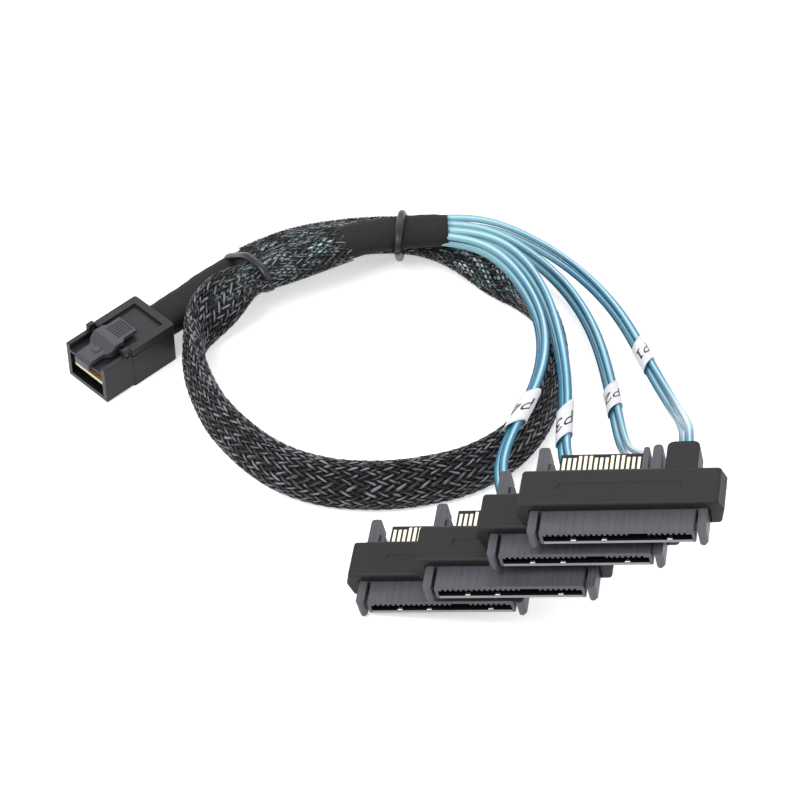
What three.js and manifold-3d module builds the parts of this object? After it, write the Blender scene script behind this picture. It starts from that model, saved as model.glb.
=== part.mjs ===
// Mini SAS breakout cable, 0.5 m class, lying coiled in one round loop.
// One square host plug with a rocking latch, a flat taped neck, a flat braided sleeve that goes once
// round, a taped breakout, four twin leads with white markers, and four drive connectors in a pile.
// Millimetres, +Z up. The origin is the middle of the host plug's flat underside, on the table.

import * as THREE from "three";
import { mergeVertices } from "three/addons/utils/BufferGeometryUtils.js";
import Module from "manifold-3d";

const wasm = await Module();
wasm.setup();

// Clearances
const seat = 0.3; // gap between two pieces that touch
const reach = 0.5; // how far a cutting shape runs past the face that it cuts

// Host plug, in its own frame: +x to the cable, +y to the left seen from the mouth, z up
const plugYaw = 45; // degrees on the table
const plugLength = 24;
const plugWidth = 15.5;
const plugHeight = 12.4;
const plugWall = 1.3;
const mouthLength = 9; // front section, a touch slimmer than the hood behind it
const mouthStep = 0.4;
const mouthTop = 9.3; // underside of the web over the mouth
const webThick = 0.6;
const socketDepth = 11;
const coverThick = 1.8;
const coverRecess = 0.8;
const coverRim = 2.2;
const throatDepth = 2.2; // recess at the back that takes the taped neck

// Edge cards inside the mouth
const cardWidth = 11.6;
const cardThick = 1;
const cardSetback = 1;
const cardEmbed = 3; // how far a card runs into its slot in the housing
const cardHeights = { lower: 4.3, upper: 7.9 };
const padCount = 9;
const padWidth = 0.75;
const padRise = 0.12;
const padLength = 6;

// Rocking latch on top of the mouth
const pivotBehindMouth = 8; // from the mouth face to the pivot
const pivotHeight = 11.7;
const pinRadius = 0.6;
const latchThick = 1.1;
const noseHalf = 2.7;
const latchHalf = 4.2;
const thumbHalf = 3.4;
const thumbEnd = 6.8; // from the pivot back to the end of the thumb pad
const thumbLow = 12.5; // underside of the thumb pad
const noseLow = 10.3;
const gripCount = 7;
const gripPitch = 0.72;
const earLength = 2.2;
const earTop = 13.6;
const earThick = 1.9;

// Flat bundle: width across and thickness
const neckSize = { width: 10, thick: 5.4 };
const sleeveSize = { width: 12.5, thick: 5 };
const tapeSize = { width: 11, thick: 5.6 };

// Twin leads: each is two flat ribbons, one a little above and beside the other
const ribbonSize = { width: 2, thick: 1.2 };
const ribbonAside = 0.7;
const ribbonRise = 0.8;
const leadPitch = 2.8; // between leads at the end of the breakout tape

// White markers round each lead
const markerLength = 7.5;
const markerWall = 0.3;

// Ties round both passes of the bundle
const tieRadius = 1.1;
const tieTail = 2;
const tiePoints = 24;

// Drive connector, in its own frame: x along it, +y to the cable, z up from its underside
const shellWidth = 46.6; // across the top face
const shellBulge = 0.9; // how much wider the parting line is, each end
const shellDepth = 10.4;
const shellThick = 7.8;
const shellBevel = 0.6;
const bodyWidth = 36; // mating body between its two arms
const bodyLow = 0.9;
const bodyThick = 4.2;
const bodyReach = 6; // mating body beyond the moulding
const armWidth = 2;
const armGap = 0.6;
const armReach = 6.8;
const armThick = 4.8;
const bodyEmbed = 3; // how far the mating body runs into the moulding
const slotWidth = 34.4;
const slotLow = 1.7;
const slotHigh = 3.6;
const slotDepth = 5;
const contactPitch = 1.27;
const contactFirst = -16; // x of the first contact cell
const mainCells = 15;
const dataFirst = 8;
const dataCells = 7;
const cellWidth = 0.6;
const cellRise = 0.55;
const cellDepth = 1.5;
const keyWidth = 4.6;
const keyMiddle = 4.9;
const bladeCount = 15;
const bladeFirst = -14.5;
const bladeWidth = 0.8;
const bladeRise = 0.12;
const tongueLow = 3.3;
const tongueThick = 1.2;
const tongueReach = 6.2;
const flangeReach = 1; // power port's flange behind the moulding
const flangeEmbed = 0.9;
const bootMiddle = 13.8; // x of the cable boot
const bootWidth = 7.6;
const bootReach = 8.5;
const bootLow = 1.2;
const bootThick = 5.8;

// The pile of connectors: each lies on the one before it, slid along and back
const pileBase = [84.8, -77.8, 5.05];
const pileTilt = { pitch: 4, roll: -12, yaw: -9 }; // degrees
const pileSlides = [
  [0, 0],
  [18.6, -2],
  [16.7, 3],
  [11, 0],
];

// Routes, chosen by hand, along the middle of the flat bundle
const neckRoute = [
  [7.2, 7.2, 6.4], [12, 12, 6.2], [17, 17.5, 5.8], [22, 23.5, 5.4], [27, 28.5, 5.3], [32, 32.5, 5.3],
  [35.5, 35.2, 5.2],
];
const firstRoute = [
  [36.1, 35.6, 5.2], [41.5, 39, 5.1], [48, 42, 5], [55, 43.7, 5], [61.5, 44.7, 5.1], [67.5, 45, 5.2],
  [73.2, 45, 5.2], [79.5, 43.8, 5.2], [85.2, 41.2, 5.1], [91, 37.5, 5], [97, 32.5, 5], [101.5, 27.2, 5.2],
];
const loopRoute = [
  [101.8, 26.8, 6.6], [106, 20.5, 6.5], [109.5, 14, 6.5], [111.8, 7, 6.5], [112.5, -0.5, 6.5],
  [111.7, -10, 6.5], [109.6, -19.5, 6.5], [106.2, -28, 6.5], [101.2, -35.5, 6.5], [94.7, -41.5, 6.5],
  [87.5, -45.7, 6.5], [80, -48.2, 6.5], [72.5, -49.5, 6.5], [60.5, -49.4, 6.5], [50.3, -47, 6.5],
  [41.4, -41.7, 6.5], [33.6, -33.5, 6.5], [27.3, -23.7, 6.5], [22.6, -13.6, 6.5], [20, -4.4, 6.5],
  [19.8, 4, 6.7], [21.3, 9.2, 7.4], [23.7, 13, 8.4], [25.7, 15.9, 9.4],
];
const returnRoute = [
  [26.2, 16.6, 10.4], [31, 22.4, 10.5], [36, 26, 10.6], [41, 28.8, 10.7], [47, 31.9, 10.8], [53.9, 34.9, 10.9],
];
const breakoutRoute = [
  [54.3, 35.1, 10.9], [59.7, 37.1, 11], [66, 39, 11], [73.2, 40.4, 11], [78.7, 40.9, 11], [83.5, 41, 11],
];
// Each lead starts at the breakout tape and ends in its connector's boot. reach is how far round it the
// marker's middle lies, in millimetres from the tape.
const leads = [
  {
    marker: 76,
    route: [
      [90, 45.9, 10.6], [97.5, 46.4, 8.8], [105.5, 45.4, 5.4], [115, 40.4, 3], [124, 30.1, 2.2],
      [130.5, 18.7, 2.2], [135, 6, 2.6], [137.4, -10, 6], [138.4, -28, 13.5],
    ],
  },
  {
    marker: 84,
    route: [
      [90.3, 43, 10.6], [98.5, 42.2, 8.8], [106.7, 38.9, 5.4], [114.9, 31.4, 3], [120.9, 20.3, 2.2],
      [124.8, 7.2, 2.2], [126.9, -8, 3], [127.6, -24, 7], [127.6, -39, 13.5],
    ],
  },
  {
    marker: 82,
    route: [
      [90.3, 39.3, 11.4], [96.9, 35.3, 13], [102.6, 28.5, 14.9], [107.6, 19.4, 15.2], [111.2, 8.1, 15.2],
      [113.4, -5.1, 15.2], [114.6, -17.7, 14.6], [114.6, -28, 11.6], [113.4, -40, 10.4],
    ],
  },
  {
    marker: 81,
    route: [
      [89.6, 35.4, 12.2], [95.7, 30.6, 14.4], [101.3, 23, 15.2], [106, 13.4, 15.2], [109, 2.7, 15.2],
      [109.7, -8.2, 15.2], [107.8, -19.7, 15.2], [103.9, -30.4, 15.2], [99.8, -39.8, 14.6], [96.6, -47, 11],
    ],
  },
];
const ties = {
  left: {
    low: { route: neckRoute, size: neckSize }, lowAt: 0.78,
    high: { route: returnRoute, size: sleeveSize }, highAt: 0.24,
  },
  right: {
    low: { route: firstRoute, size: sleeveSize }, lowAt: 0.55,
    high: { route: breakoutRoute, size: tapeSize }, highAt: 0.64,
  },
};

const finish = (color, roughness, metalness = 0) => ({ color, roughness, metalness });
const finishes = {
  housing: finish(0x3a3a3e, 0.55),
  latch: finish(0x4a4a52, 0.5),
  steel: finish(0xb0b3b8, 0.3, 1),
  card: finish(0xd9cfa0, 0.5),
  tape: finish(0x26262a, 0.85),
  sleeve: finish(0x17171a, 0.5),
  lead: finish(0x7fc4e0, 0.35),
  marker: finish(0xe8e8ec, 0.6),
  moulding: finish(0x2c2c2e, 0.6),
  mating: finish(0x5a5a60, 0.6),
  carrier: finish(0x141416, 0.6),
};

const radians = THREE.MathUtils.degToRad;

// Solids and booleans

function solidOf(geometry) {
  const bare = new THREE.BufferGeometry();
  bare.setAttribute("position", geometry.getAttribute("position"));
  if (geometry.index) bare.setIndex(geometry.index);
  const merged = mergeVertices(bare, 1e-4);
  const index = Uint32Array.from(merged.index.array);
  const points = Float32Array.from(merged.getAttribute("position").array);
  return new wasm.Manifold(new wasm.Mesh({ numProp: 3, vertProperties: points, triVerts: index }));
}

function geometryOf(solid) {
  const mesh = solid.getMesh();
  const geometry = new THREE.BufferGeometry();
  geometry.setAttribute("position", new THREE.BufferAttribute(Float32Array.from(mesh.vertProperties), 3));
  geometry.setIndex(new THREE.BufferAttribute(Uint32Array.from(mesh.triVerts), 1));
  geometry.computeVertexNormals();
  return geometry;
}

function join(...geometries) {
  return geometryOf(geometries.map(solidOf).reduce((all, next) => all.add(next)));
}

function cut(base, ...tools) {
  return geometryOf(tools.map(solidOf).reduce((all, next) => all.subtract(next), solidOf(base)));
}

function common(first, second) {
  return geometryOf(solidOf(first).intersect(solidOf(second)));
}

// Plain shapes

function block(x, y, z) {
  const geometry = new THREE.BoxGeometry(x[1] - x[0], y[1] - y[0], z[1] - z[0]);
  geometry.translate((x[0] + x[1]) / 2, (y[0] + y[1]) / 2, (z[0] + z[1]) / 2);
  return geometry;
}

function roundedOutline(x, y, radius) {
  const shape = new THREE.Shape();
  shape.moveTo(x[0] + radius, y[0]);
  shape.lineTo(x[1] - radius, y[0]);
  shape.absarc(x[1] - radius, y[0] + radius, radius, -Math.PI / 2, 0);
  shape.lineTo(x[1], y[1] - radius);
  shape.absarc(x[1] - radius, y[1] - radius, radius, 0, Math.PI / 2);
  shape.lineTo(x[0] + radius, y[1]);
  shape.absarc(x[0] + radius, y[1] - radius, radius, Math.PI / 2, Math.PI);
  shape.lineTo(x[0], y[0] + radius);
  shape.absarc(x[0] + radius, y[0] + radius, radius, Math.PI, Math.PI * 1.5);
  return shape;
}

// A block whose upright edges are round
function roundedBlock(x, y, z, radius, segments = 3) {
  const depth = z[1] - z[0];
  const outline = roundedOutline(x, y, radius);
  const geometry = new THREE.ExtrudeGeometry(outline, { depth, bevelEnabled: false, curveSegments: segments });
  geometry.translate(0, 0, z[0]);
  return geometry;
}

// A block whose edges along y are round
function roundedBar(x, y, z, radius, segments = 3) {
  const depth = y[1] - y[0];
  const outline = roundedOutline(x, z, radius);
  const geometry = new THREE.ExtrudeGeometry(outline, { depth, bevelEnabled: false, curveSegments: segments });
  geometry.rotateX(Math.PI / 2);
  geometry.translate(0, y[1], 0);
  return geometry;
}

function pinAcross(radius, length, x, z, sides = 16) {
  const geometry = new THREE.CylinderGeometry(radius, radius, length, sides);
  geometry.translate(x, 0, z);
  return geometry;
}

// An outline in x and z, carried across y
function profileAcross(points, half) {
  const outline = new THREE.Shape(points.map(([x, z]) => new THREE.Vector2(x, z)));
  const geometry = new THREE.ExtrudeGeometry(outline, { depth: 2 * half, bevelEnabled: false });
  geometry.rotateX(Math.PI / 2);
  geometry.translate(0, half, 0);
  return geometry;
}

function piece(name, geometry, material) {
  const mesh = new THREE.Mesh(geometry, new THREE.MeshStandardMaterial(finishes[material]));
  mesh.name = name;
  return mesh;
}

// Host plug

const plugFront = -plugLength / 2;
const plugBack = plugLength / 2;
const plugHalf = plugWidth / 2;
const hoodFront = plugFront + mouthLength;
const coverLow = plugHeight - coverThick;
const socketBack = plugFront + socketDepth;
const pivotX = plugFront + pivotBehindMouth;
const mouthHalf = plugHalf - mouthStep / 2;
const wallTop = plugHeight - 0.8;

function plugHousing() {
  const inner = mouthHalf - plugWall;
  const ears = [-1, 1].map((side) => {
    const outer = side * mouthHalf;
    const inside = outer - side * earThick;
    const y = [Math.min(outer, inside), Math.max(outer, inside)];
    return roundedBar([pivotX - earLength / 2, pivotX + earLength / 2], y, [mouthTop, earTop], 0.4);
  });
  const mouth = block([plugFront, hoodFront + 1], [-mouthHalf, mouthHalf], [mouthStep, wallTop]);
  const hood = roundedBlock([hoodFront, plugBack], [-plugHalf, plugHalf], [0, coverLow - seat], 0.8);
  const channel = block([plugFront - reach, hoodFront + reach], [-inner, inner], [mouthTop + webThick, earTop]);
  const between = block([pivotX - 3, pivotX + 3], [-inner, inner], [mouthTop + webThick, earTop + reach]);
  const hoodTop = block([hoodFront, plugBack + reach], [-plugWidth, plugWidth], [coverLow - seat, earTop + reach]);
  const socket = block([plugFront - reach, socketBack], [-inner, inner], [mouthStep + plugWall, mouthTop]);
  const slots = Object.values(cardHeights).map((low) => block(
    [socketBack - reach, socketBack + cardEmbed + seat],
    [-cardWidth / 2 - seat, cardWidth / 2 + seat],
    [low - seat, low + cardThick + padRise + seat],
  ));
  const throatHalf = neckSize.width / 2 + seat;
  const throatMiddle = neckRoute[0][2];
  const throatRise = neckSize.thick / 2 + seat;
  const throat = block(
    [plugBack - throatDepth, plugBack + reach],
    [-throatHalf, throatHalf],
    [throatMiddle - throatRise, throatMiddle + throatRise],
  );
  const bore = pinAcross(pinRadius + seat, plugWidth + 2, pivotX, pivotHeight);
  const body = cut(join(mouth, hood), channel, hoodTop, socket, throat, ...slots);
  return cut(join(body, ...ears), between, bore);
}

function plugCover() {
  const plate = roundedBlock([hoodFront + seat, plugBack], [-plugHalf, plugHalf], [coverLow, plugHeight], 0.8);
  const recess = block(
    [hoodFront - reach, plugBack - coverRim],
    [-plugHalf + coverRim, plugHalf - coverRim],
    [plugHeight - coverRecess, plugHeight + reach],
  );
  return cut(plate, recess);
}

function edgeCard(low) {
  const front = plugFront + cardSetback;
  const half = cardWidth / 2;
  const card = block([front, socketBack + cardEmbed], [-half, half], [low, low + cardThick]);
  const pitch = cardWidth / (padCount + 0.5);
  const pads = Array.from({ length: padCount }, (_, i) => {
    const middle = (i - (padCount - 1) / 2) * pitch;
    return block(
      [front + 0.6, front + 0.6 + padLength],
      [middle - padWidth / 2, middle + padWidth / 2],
      [low + cardThick / 2, low + cardThick + padRise],
    );
  });
  return join(card, ...pads);
}

// The latch is its side profile and its plan, in common, with a bore for the pin
function plugLatch() {
  const tip = plugFront - seat - 0.9;
  const thumb = pivotX + thumbEnd;
  const side = [
    [tip, mouthTop - 0.4], [plugFront - seat, mouthTop - 0.4], [plugFront - seat, noseLow],
    [pivotX - 3, noseLow], [pivotX - 1.2, pivotHeight - 1.5], [pivotX + 0.9, pivotHeight - 1.3],
    [pivotX + 0.9, thumbLow - 0.4], [pivotX + 2.2, thumbLow], [thumb, thumbLow],
    [thumb, thumbLow + latchThick],
    [pivotX - 1, thumbLow + latchThick], [pivotX - 3.4, noseLow + latchThick + 0.4],
    [tip + 0.9, noseLow + latchThick + 0.2], [tip, noseLow + latchThick - 0.4],
  ];
  const plan = new THREE.Shape();
  plan.moveTo(tip, -noseHalf);
  plan.lineTo(pivotX - 4.6, -noseHalf);
  plan.bezierCurveTo(pivotX - 3.4, -noseHalf, pivotX - 3.2, -latchHalf, pivotX - 2, -latchHalf);
  plan.lineTo(pivotX + 1.6, -latchHalf);
  plan.lineTo(pivotX + 2.6, -thumbHalf);
  plan.lineTo(thumb, -thumbHalf);
  plan.lineTo(thumb, thumbHalf);
  plan.lineTo(pivotX + 2.6, thumbHalf);
  plan.lineTo(pivotX + 1.6, latchHalf);
  plan.lineTo(pivotX - 2, latchHalf);
  plan.bezierCurveTo(pivotX - 3.2, latchHalf, pivotX - 3.4, noseHalf, pivotX - 4.6, noseHalf);
  plan.lineTo(tip, noseHalf);
  const slab = new THREE.ExtrudeGeometry(plan, { depth: plugHeight, bevelEnabled: false, curveSegments: 6 });
  slab.translate(0, 0, mouthTop - 2);
  const blank = common(profileAcross(side, latchHalf + 1), slab);
  const button = new THREE.CylinderGeometry(1.1, 1.3, 0.9, 20);
  button.rotateX(Math.PI / 2);
  button.translate(pivotX - 4.2, 0, noseLow + latchThick + 0.2);
  const grips = Array.from({ length: gripCount }, (_, i) => {
    const x = thumb - 0.7 - i * gripPitch;
    const top = thumbLow + latchThick;
    return block([x - 0.16, x + 0.16], [-thumbHalf + 0.9, thumbHalf - 0.9], [top - 0.25, top + reach]);
  });
  return cut(join(blank, button), pinAcross(pinRadius + seat, plugWidth, pivotX, pivotHeight), ...grips);
}

function hostPlug() {
  const group = new THREE.Group();
  group.add(piece("plug_housing", plugHousing(), "housing"));
  group.add(piece("plug_cover", plugCover(), "housing"));
  group.add(piece("plug_latch", plugLatch(), "latch"));
  const pinLength = 2 * mouthHalf - 0.4;
  group.add(piece("latch_pin", pinAcross(pinRadius, pinLength, pivotX, pivotHeight), "steel"));
  for (const [name, low] of Object.entries(cardHeights)) {
    group.add(piece(`edge_card_${name}`, edgeCard(low), "card"));
  }
  group.rotation.z = radians(plugYaw);
  return group;
}

// Drive connector

function cell(x, z) {
  const front = -shellDepth / 2 - bodyReach;
  return block([x - cellWidth / 2, x + cellWidth / 2], [front - reach, front + cellDepth], z);
}

function connectorShell() {
  const half = shellWidth / 2;
  const wide = half + shellBulge;
  const middle = shellThick * 0.55;
  const round = 1.1;
  const outline = new THREE.Shape();
  outline.moveTo(-half + round, 0);
  outline.lineTo(half - round, 0);
  outline.quadraticCurveTo(half, 0, half + 0.1, round);
  outline.lineTo(wide, middle);
  outline.lineTo(half + 0.1, shellThick - round);
  outline.quadraticCurveTo(half, shellThick, half - round, shellThick);
  outline.lineTo(-half + round, shellThick);
  outline.quadraticCurveTo(-half, shellThick, -half - 0.1, shellThick - round);
  outline.lineTo(-wide, middle);
  outline.lineTo(-half - 0.1, round);
  outline.quadraticCurveTo(-half, 0, -half + round, 0);
  const depth = shellDepth - 2 * shellBevel;
  const blank = new THREE.ExtrudeGeometry(outline, {
    depth, bevelThickness: shellBevel, bevelSize: shellBevel, bevelOffset: -shellBevel, bevelSegments: 2,
    curveSegments: 4,
  });
  blank.rotateX(Math.PI / 2);
  blank.translate(0, depth / 2, 0);
  const back = shellDepth / 2;
  const boot = roundedBlock(
    [bootMiddle - bootWidth / 2, bootMiddle + bootWidth / 2],
    [back - 2, back + bootReach],
    [bootLow, bootLow + bootThick],
    1.6,
  );
  const armOut = bodyWidth / 2 + armGap + armWidth + seat;
  const armMiddle = bodyLow + bodyThick / 2;
  const mouth = block(
    [-armOut, armOut],
    [-back - reach, -back + bodyEmbed + seat],
    [armMiddle - armThick / 2 - seat, armMiddle + armThick / 2 + seat],
  );
  const port = block(
    [portLeft - seat, portRight + seat],
    [back - flangeEmbed - seat, back + reach],
    [portLow - seat, portHigh + seat],
  );
  const panel = roundedBlock([-14.5, 14.5], [-1.6, 1.2], [shellThick - 0.15, shellThick + reach], 1.2);
  return cut(join(blank, boot), mouth, port, panel);
}

const portLeft = -20.5;
const portRight = 9.3;
const portLow = 1;
const portHigh = 6.4;

function matingBody() {
  const back = -shellDepth / 2 + bodyEmbed;
  const root = -shellDepth / 2 + 0.2;
  const front = -shellDepth / 2 - bodyReach;
  const half = bodyWidth / 2;
  const armOut = half + armGap + armWidth;
  const armMiddle = bodyLow + bodyThick / 2;
  const body = roundedBar([-half, half], [front, back], [bodyLow, bodyLow + bodyThick], 0.5, 2);
  const base = block([-armOut, armOut], [root, back], [bodyLow, bodyLow + bodyThick]);
  const tip = -shellDepth / 2 - armReach;
  const arms = [-1, 1].map((side) => {
    const inside = side * (half + armGap);
    const outer = side * armOut;
    const plan = new THREE.Shape();
    plan.moveTo(inside, back);
    plan.lineTo(inside, tip + 1.4);
    plan.quadraticCurveTo(inside, tip, inside + side * 0.9, tip);
    plan.lineTo(outer - side * 0.7, tip);
    plan.lineTo(outer, tip + 0.9);
    plan.lineTo(outer, back);
    const slab = new THREE.ExtrudeGeometry(plan, { depth: armThick, bevelEnabled: false, curveSegments: 3 });
    slab.translate(0, 0, armMiddle - armThick / 2);
    return slab;
  });
  const slot = block(
    [-slotWidth / 2, slotWidth / 2],
    [front - reach, front + slotDepth],
    [slotLow, slotHigh],
  );
  const key = block(
    [keyMiddle - keyWidth / 2, keyMiddle + keyWidth / 2],
    [front - reach, front + slotDepth],
    [slotHigh - 0.1, slotHigh + cellRise],
  );
  const upper = [slotHigh - 0.1, slotHigh + cellRise];
  const main = Array.from({ length: mainCells }, (_, i) => cell(contactFirst + i * contactPitch, upper));
  const data = Array.from({ length: dataCells }, (_, i) => cell(dataFirst + i * contactPitch, upper));
  return cut(join(body, base, ...arms), slot, key, ...main, ...data);
}

function contactCarrier() {
  const inside = -shellDepth / 2 - bodyReach + slotDepth;
  const half = slotWidth / 2 - seat;
  return block([-half, half], [inside - seat - 1.2, inside - seat], [slotLow + seat, slotHigh - seat]);
}

// Power port: a flange with a bladed tongue, its end wall, a nub and two guide posts
function powerPort() {
  const back = shellDepth / 2;
  const face = back + flangeReach;
  const flange = block([portLeft, portRight], [back - flangeEmbed, face], [portLow, portHigh]);
  const tongueTop = tongueLow + tongueThick;
  const end = face + tongueReach;
  const tongue = block([bladeFirst - 0.9, 4.6], [face - 0.5, end], [tongueLow, tongueTop]);
  const wall = roundedBlock([4.4, 5.8], [face - 0.5, end + 0.5], [2.1, 6.2], 0.5, 2);
  const leftPost = roundedBlock([-20.4, -17.7], [face - 1, end + 0.9], [1.6, 6.2], 0.8, 2);
  const nub = roundedBlock([-18.2, -16.4], [face - 0.5, face + 3], [2.6, 5.2], 0.6, 2);
  const rightPost = roundedBlock([6.6, 8.9], [face - 1, end + 1.2], [1.6, 6.2], 1.1, 3);
  const blades = Array.from({ length: bladeCount }, (_, i) => {
    const x = bladeFirst + i * contactPitch;
    const long = Math.floor(i / 3) % 2;
    return block(
      [x - bladeWidth / 2, x + bladeWidth / 2],
      [face - 0.2, end - (long ? 0.5 : 1.1)],
      [tongueLow + tongueThick / 2, tongueTop + bladeRise],
    );
  });
  return join(flange, tongue, wall, leftPost, nub, rightPost, ...blades);
}

function driveConnector(number) {
  const group = new THREE.Group();
  group.add(piece(`connector_${number}_shell`, connectorShell(), "moulding"));
  group.add(piece(`connector_${number}_mating_body`, matingBody(), "mating"));
  group.add(piece(`connector_${number}_contact_carrier`, contactCarrier(), "carrier"));
  group.add(piece(`connector_${number}_power_port`, powerPort(), "mating"));
  return group;
}

// Places of the four connectors, the lowest first
function pilePlaces() {
  const turn = new THREE.Matrix4().makeRotationFromEuler(
    new THREE.Euler(radians(pileTilt.pitch), radians(pileTilt.roll), radians(pileTilt.yaw), "ZXY"),
  );
  const place = new THREE.Vector3(...pileBase);
  return pileSlides.map(([along, back], i) => {
    const rise = i ? shellThick + seat : 0;
    place.add(new THREE.Vector3(along, back, rise).applyMatrix4(turn));
    return turn.clone().setPosition(place);
  });
}

// Cords

function curveOf(route) {
  return new THREE.CatmullRomCurve3(route.map((p) => new THREE.Vector3(...p)), false, "centripetal");
}

// An ellipse with flat sides, the x of the section standing up
function ovalSection(upright, across, sides) {
  const shape = new THREE.Shape();
  for (let i = 0; i < sides; i += 1) {
    const angle = (2 * Math.PI * (i + 0.5)) / sides;
    const x = (upright / 2) * Math.cos(angle);
    const y = (across / 2) * Math.sin(angle);
    if (i) shape.lineTo(x, y);
    else shape.moveTo(x, y);
  }
  return shape;
}

function cord(route, upright, across, steps, sides = 12) {
  const extrudePath = curveOf(route);
  return new THREE.ExtrudeGeometry(ovalSection(upright, across, sides), { steps, extrudePath });
}

// A route moved aside, level, and up
function shifted(route, aside, rise) {
  const curve = curveOf(route);
  const lengths = route.map((_, i) => i / (route.length - 1));
  return lengths.map((t) => {
    const along = curve.getTangent(t);
    const level = new THREE.Vector3(-along.y, along.x, 0).normalize();
    const point = curve.getPoint(t).addScaledVector(level, aside);
    return [point.x, point.y, point.z + rise];
  });
}

function leadRoute(index, place) {
  const exit = breakoutRoute.at(-1);
  const offset = (1.5 - index) * leadPitch;
  const start = [exit[0] + 2 * seat, exit[1] + offset, exit[2]];
  const mouth = shellDepth / 2 + bootReach + seat;
  const height = bootLow + bootThick / 2;
  const near = new THREE.Vector3(bootMiddle, mouth, height).applyMatrix4(place);
  const before = new THREE.Vector3(bootMiddle, mouth + 6, height).applyMatrix4(place);
  return [start, ...leads[index].route, before.toArray(), near.toArray()];
}

function marker(route, middle) {
  const curve = curveOf(route);
  const length = curve.getLength();
  const stops = [-0.5, 0, 0.5].map((share) => curve.getPointAt((middle + share * markerLength) / length));
  const bend = new THREE.CatmullRomCurve3(stops);
  const wide = ribbonAside + ribbonSize.width / 2 + seat;
  const tall = ribbonRise + ribbonSize.thick / 2 + seat;
  const outer = roundedOutline(
    [-tall - markerWall, tall + markerWall],
    [-wide - markerWall, wide + markerWall],
    0.6,
  );
  outer.holes.push(roundedOutline([-tall, tall], [-wide, wide], 0.4));
  return new THREE.ExtrudeGeometry(outer, { steps: 2, extrudePath: bend, curveSegments: 2 });
}

// A rubber band round both passes, in the plane across the lower one. It follows the hull of their two
// oval sections at a small clearance, and its short tail sticks out on one side.
function tie({ low, lowAt, high, highAt }) {
  const lowCurve = curveOf(low.route);
  const place = lowCurve.getPointAt(lowAt);
  const along = lowCurve.getTangentAt(lowAt).setZ(0).normalize();
  const side = new THREE.Vector3(-along.y, along.x, 0);
  const up = new THREE.Vector3(0, 0, 1);
  const away = curveOf(high.route).getPointAt(highAt).sub(place);
  const passes = [
    { level: 0, height: 0, size: low.size },
    { level: away.dot(side), height: away.z, size: high.size },
  ];
  const offset = tieRadius + seat;
  const onBand = (angle) => {
    const n = new THREE.Vector2(Math.cos(angle), Math.sin(angle));
    const points = passes.map(({ level, height, size }) => {
      const a = size.width / 2;
      const b = size.thick / 2;
      const span = Math.hypot(a * n.x, b * n.y);
      return new THREE.Vector2(level + (a * a * n.x) / span, height + (b * b * n.y) / span);
    });
    const outer = points[0].dot(n) > points[1].dot(n) ? points[0] : points[1];
    const { x, y } = outer.addScaledVector(n, offset);
    return place.clone().addScaledVector(side, x).addScaledVector(up, y);
  };
  const points = Array.from({ length: tiePoints }, (_, i) => onBand(((i + 0.5) * 2 * Math.PI) / tiePoints));
  const ring = new THREE.CatmullRomCurve3(points, true);
  const band = new THREE.TubeGeometry(ring, 36, tieRadius, 8, true);
  const stub = new THREE.CapsuleGeometry(tieRadius, tieTail, 3, 8);
  const end = onBand(Math.PI).addScaledVector(side, -tieTail / 2);
  stub.applyQuaternion(new THREE.Quaternion().setFromUnitVectors(new THREE.Vector3(0, 1, 0), side));
  stub.translate(end.x, end.y, end.z);
  return join(band, stub);
}

// Assembly

function cableAssembly() {
  const model = new THREE.Group();
  model.add(hostPlug());
  model.add(piece("neck_tape", cord(neckRoute, neckSize.thick, neckSize.width, 8), "tape"));
  model.add(piece("sleeve_first_pass", cord(firstRoute, sleeveSize.thick, sleeveSize.width, 14), "sleeve"));
  model.add(piece("sleeve_loop", cord(loopRoute, sleeveSize.width, sleeveSize.thick, 40), "sleeve"));
  model.add(piece("sleeve_return", cord(returnRoute, sleeveSize.thick, sleeveSize.width, 6), "sleeve"));
  model.add(piece("breakout_tape", cord(breakoutRoute, tapeSize.thick, tapeSize.width, 6), "tape"));
  model.add(piece("tie_left", tie(ties.left), "tape"));
  model.add(piece("tie_right", tie(ties.right), "tape"));
  const places = pilePlaces().reverse();
  places.forEach((place, i) => {
    const number = i + 1;
    const connector = driveConnector(number);
    connector.applyMatrix4(place);
    model.add(connector);
    const route = leadRoute(i, place);
    const { thick, width } = ribbonSize;
    for (const [name, sign] of [["upper", 1], ["lower", -1]]) {
      const own = shifted(route, sign * ribbonAside, sign * ribbonRise);
      model.add(piece(`lead_${number}_${name}`, cord(own, thick, width, 22, 8), "lead"));
    }
    model.add(piece(`marker_${number}`, marker(route, leads[i].marker), "marker"));
  });
  model.updateMatrixWorld(true);
  return model;
}

export default cableAssembly();
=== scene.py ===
import math

import bmesh
import bpy
import numpy as np
from mathutils import Matrix, Vector


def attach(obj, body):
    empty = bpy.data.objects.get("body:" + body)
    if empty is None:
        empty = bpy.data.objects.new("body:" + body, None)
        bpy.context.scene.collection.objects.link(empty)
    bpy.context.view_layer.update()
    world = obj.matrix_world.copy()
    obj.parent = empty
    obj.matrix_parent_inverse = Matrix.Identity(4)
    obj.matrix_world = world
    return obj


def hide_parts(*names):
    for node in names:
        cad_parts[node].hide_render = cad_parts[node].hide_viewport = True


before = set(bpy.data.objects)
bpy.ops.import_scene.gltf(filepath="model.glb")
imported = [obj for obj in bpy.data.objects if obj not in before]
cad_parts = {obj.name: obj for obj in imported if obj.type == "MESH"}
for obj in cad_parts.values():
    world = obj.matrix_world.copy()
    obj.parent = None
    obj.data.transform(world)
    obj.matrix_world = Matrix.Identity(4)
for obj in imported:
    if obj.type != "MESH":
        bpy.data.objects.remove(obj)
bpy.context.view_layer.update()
print("frame loaded:", len(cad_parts), "nodes")

# camera and room

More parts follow.
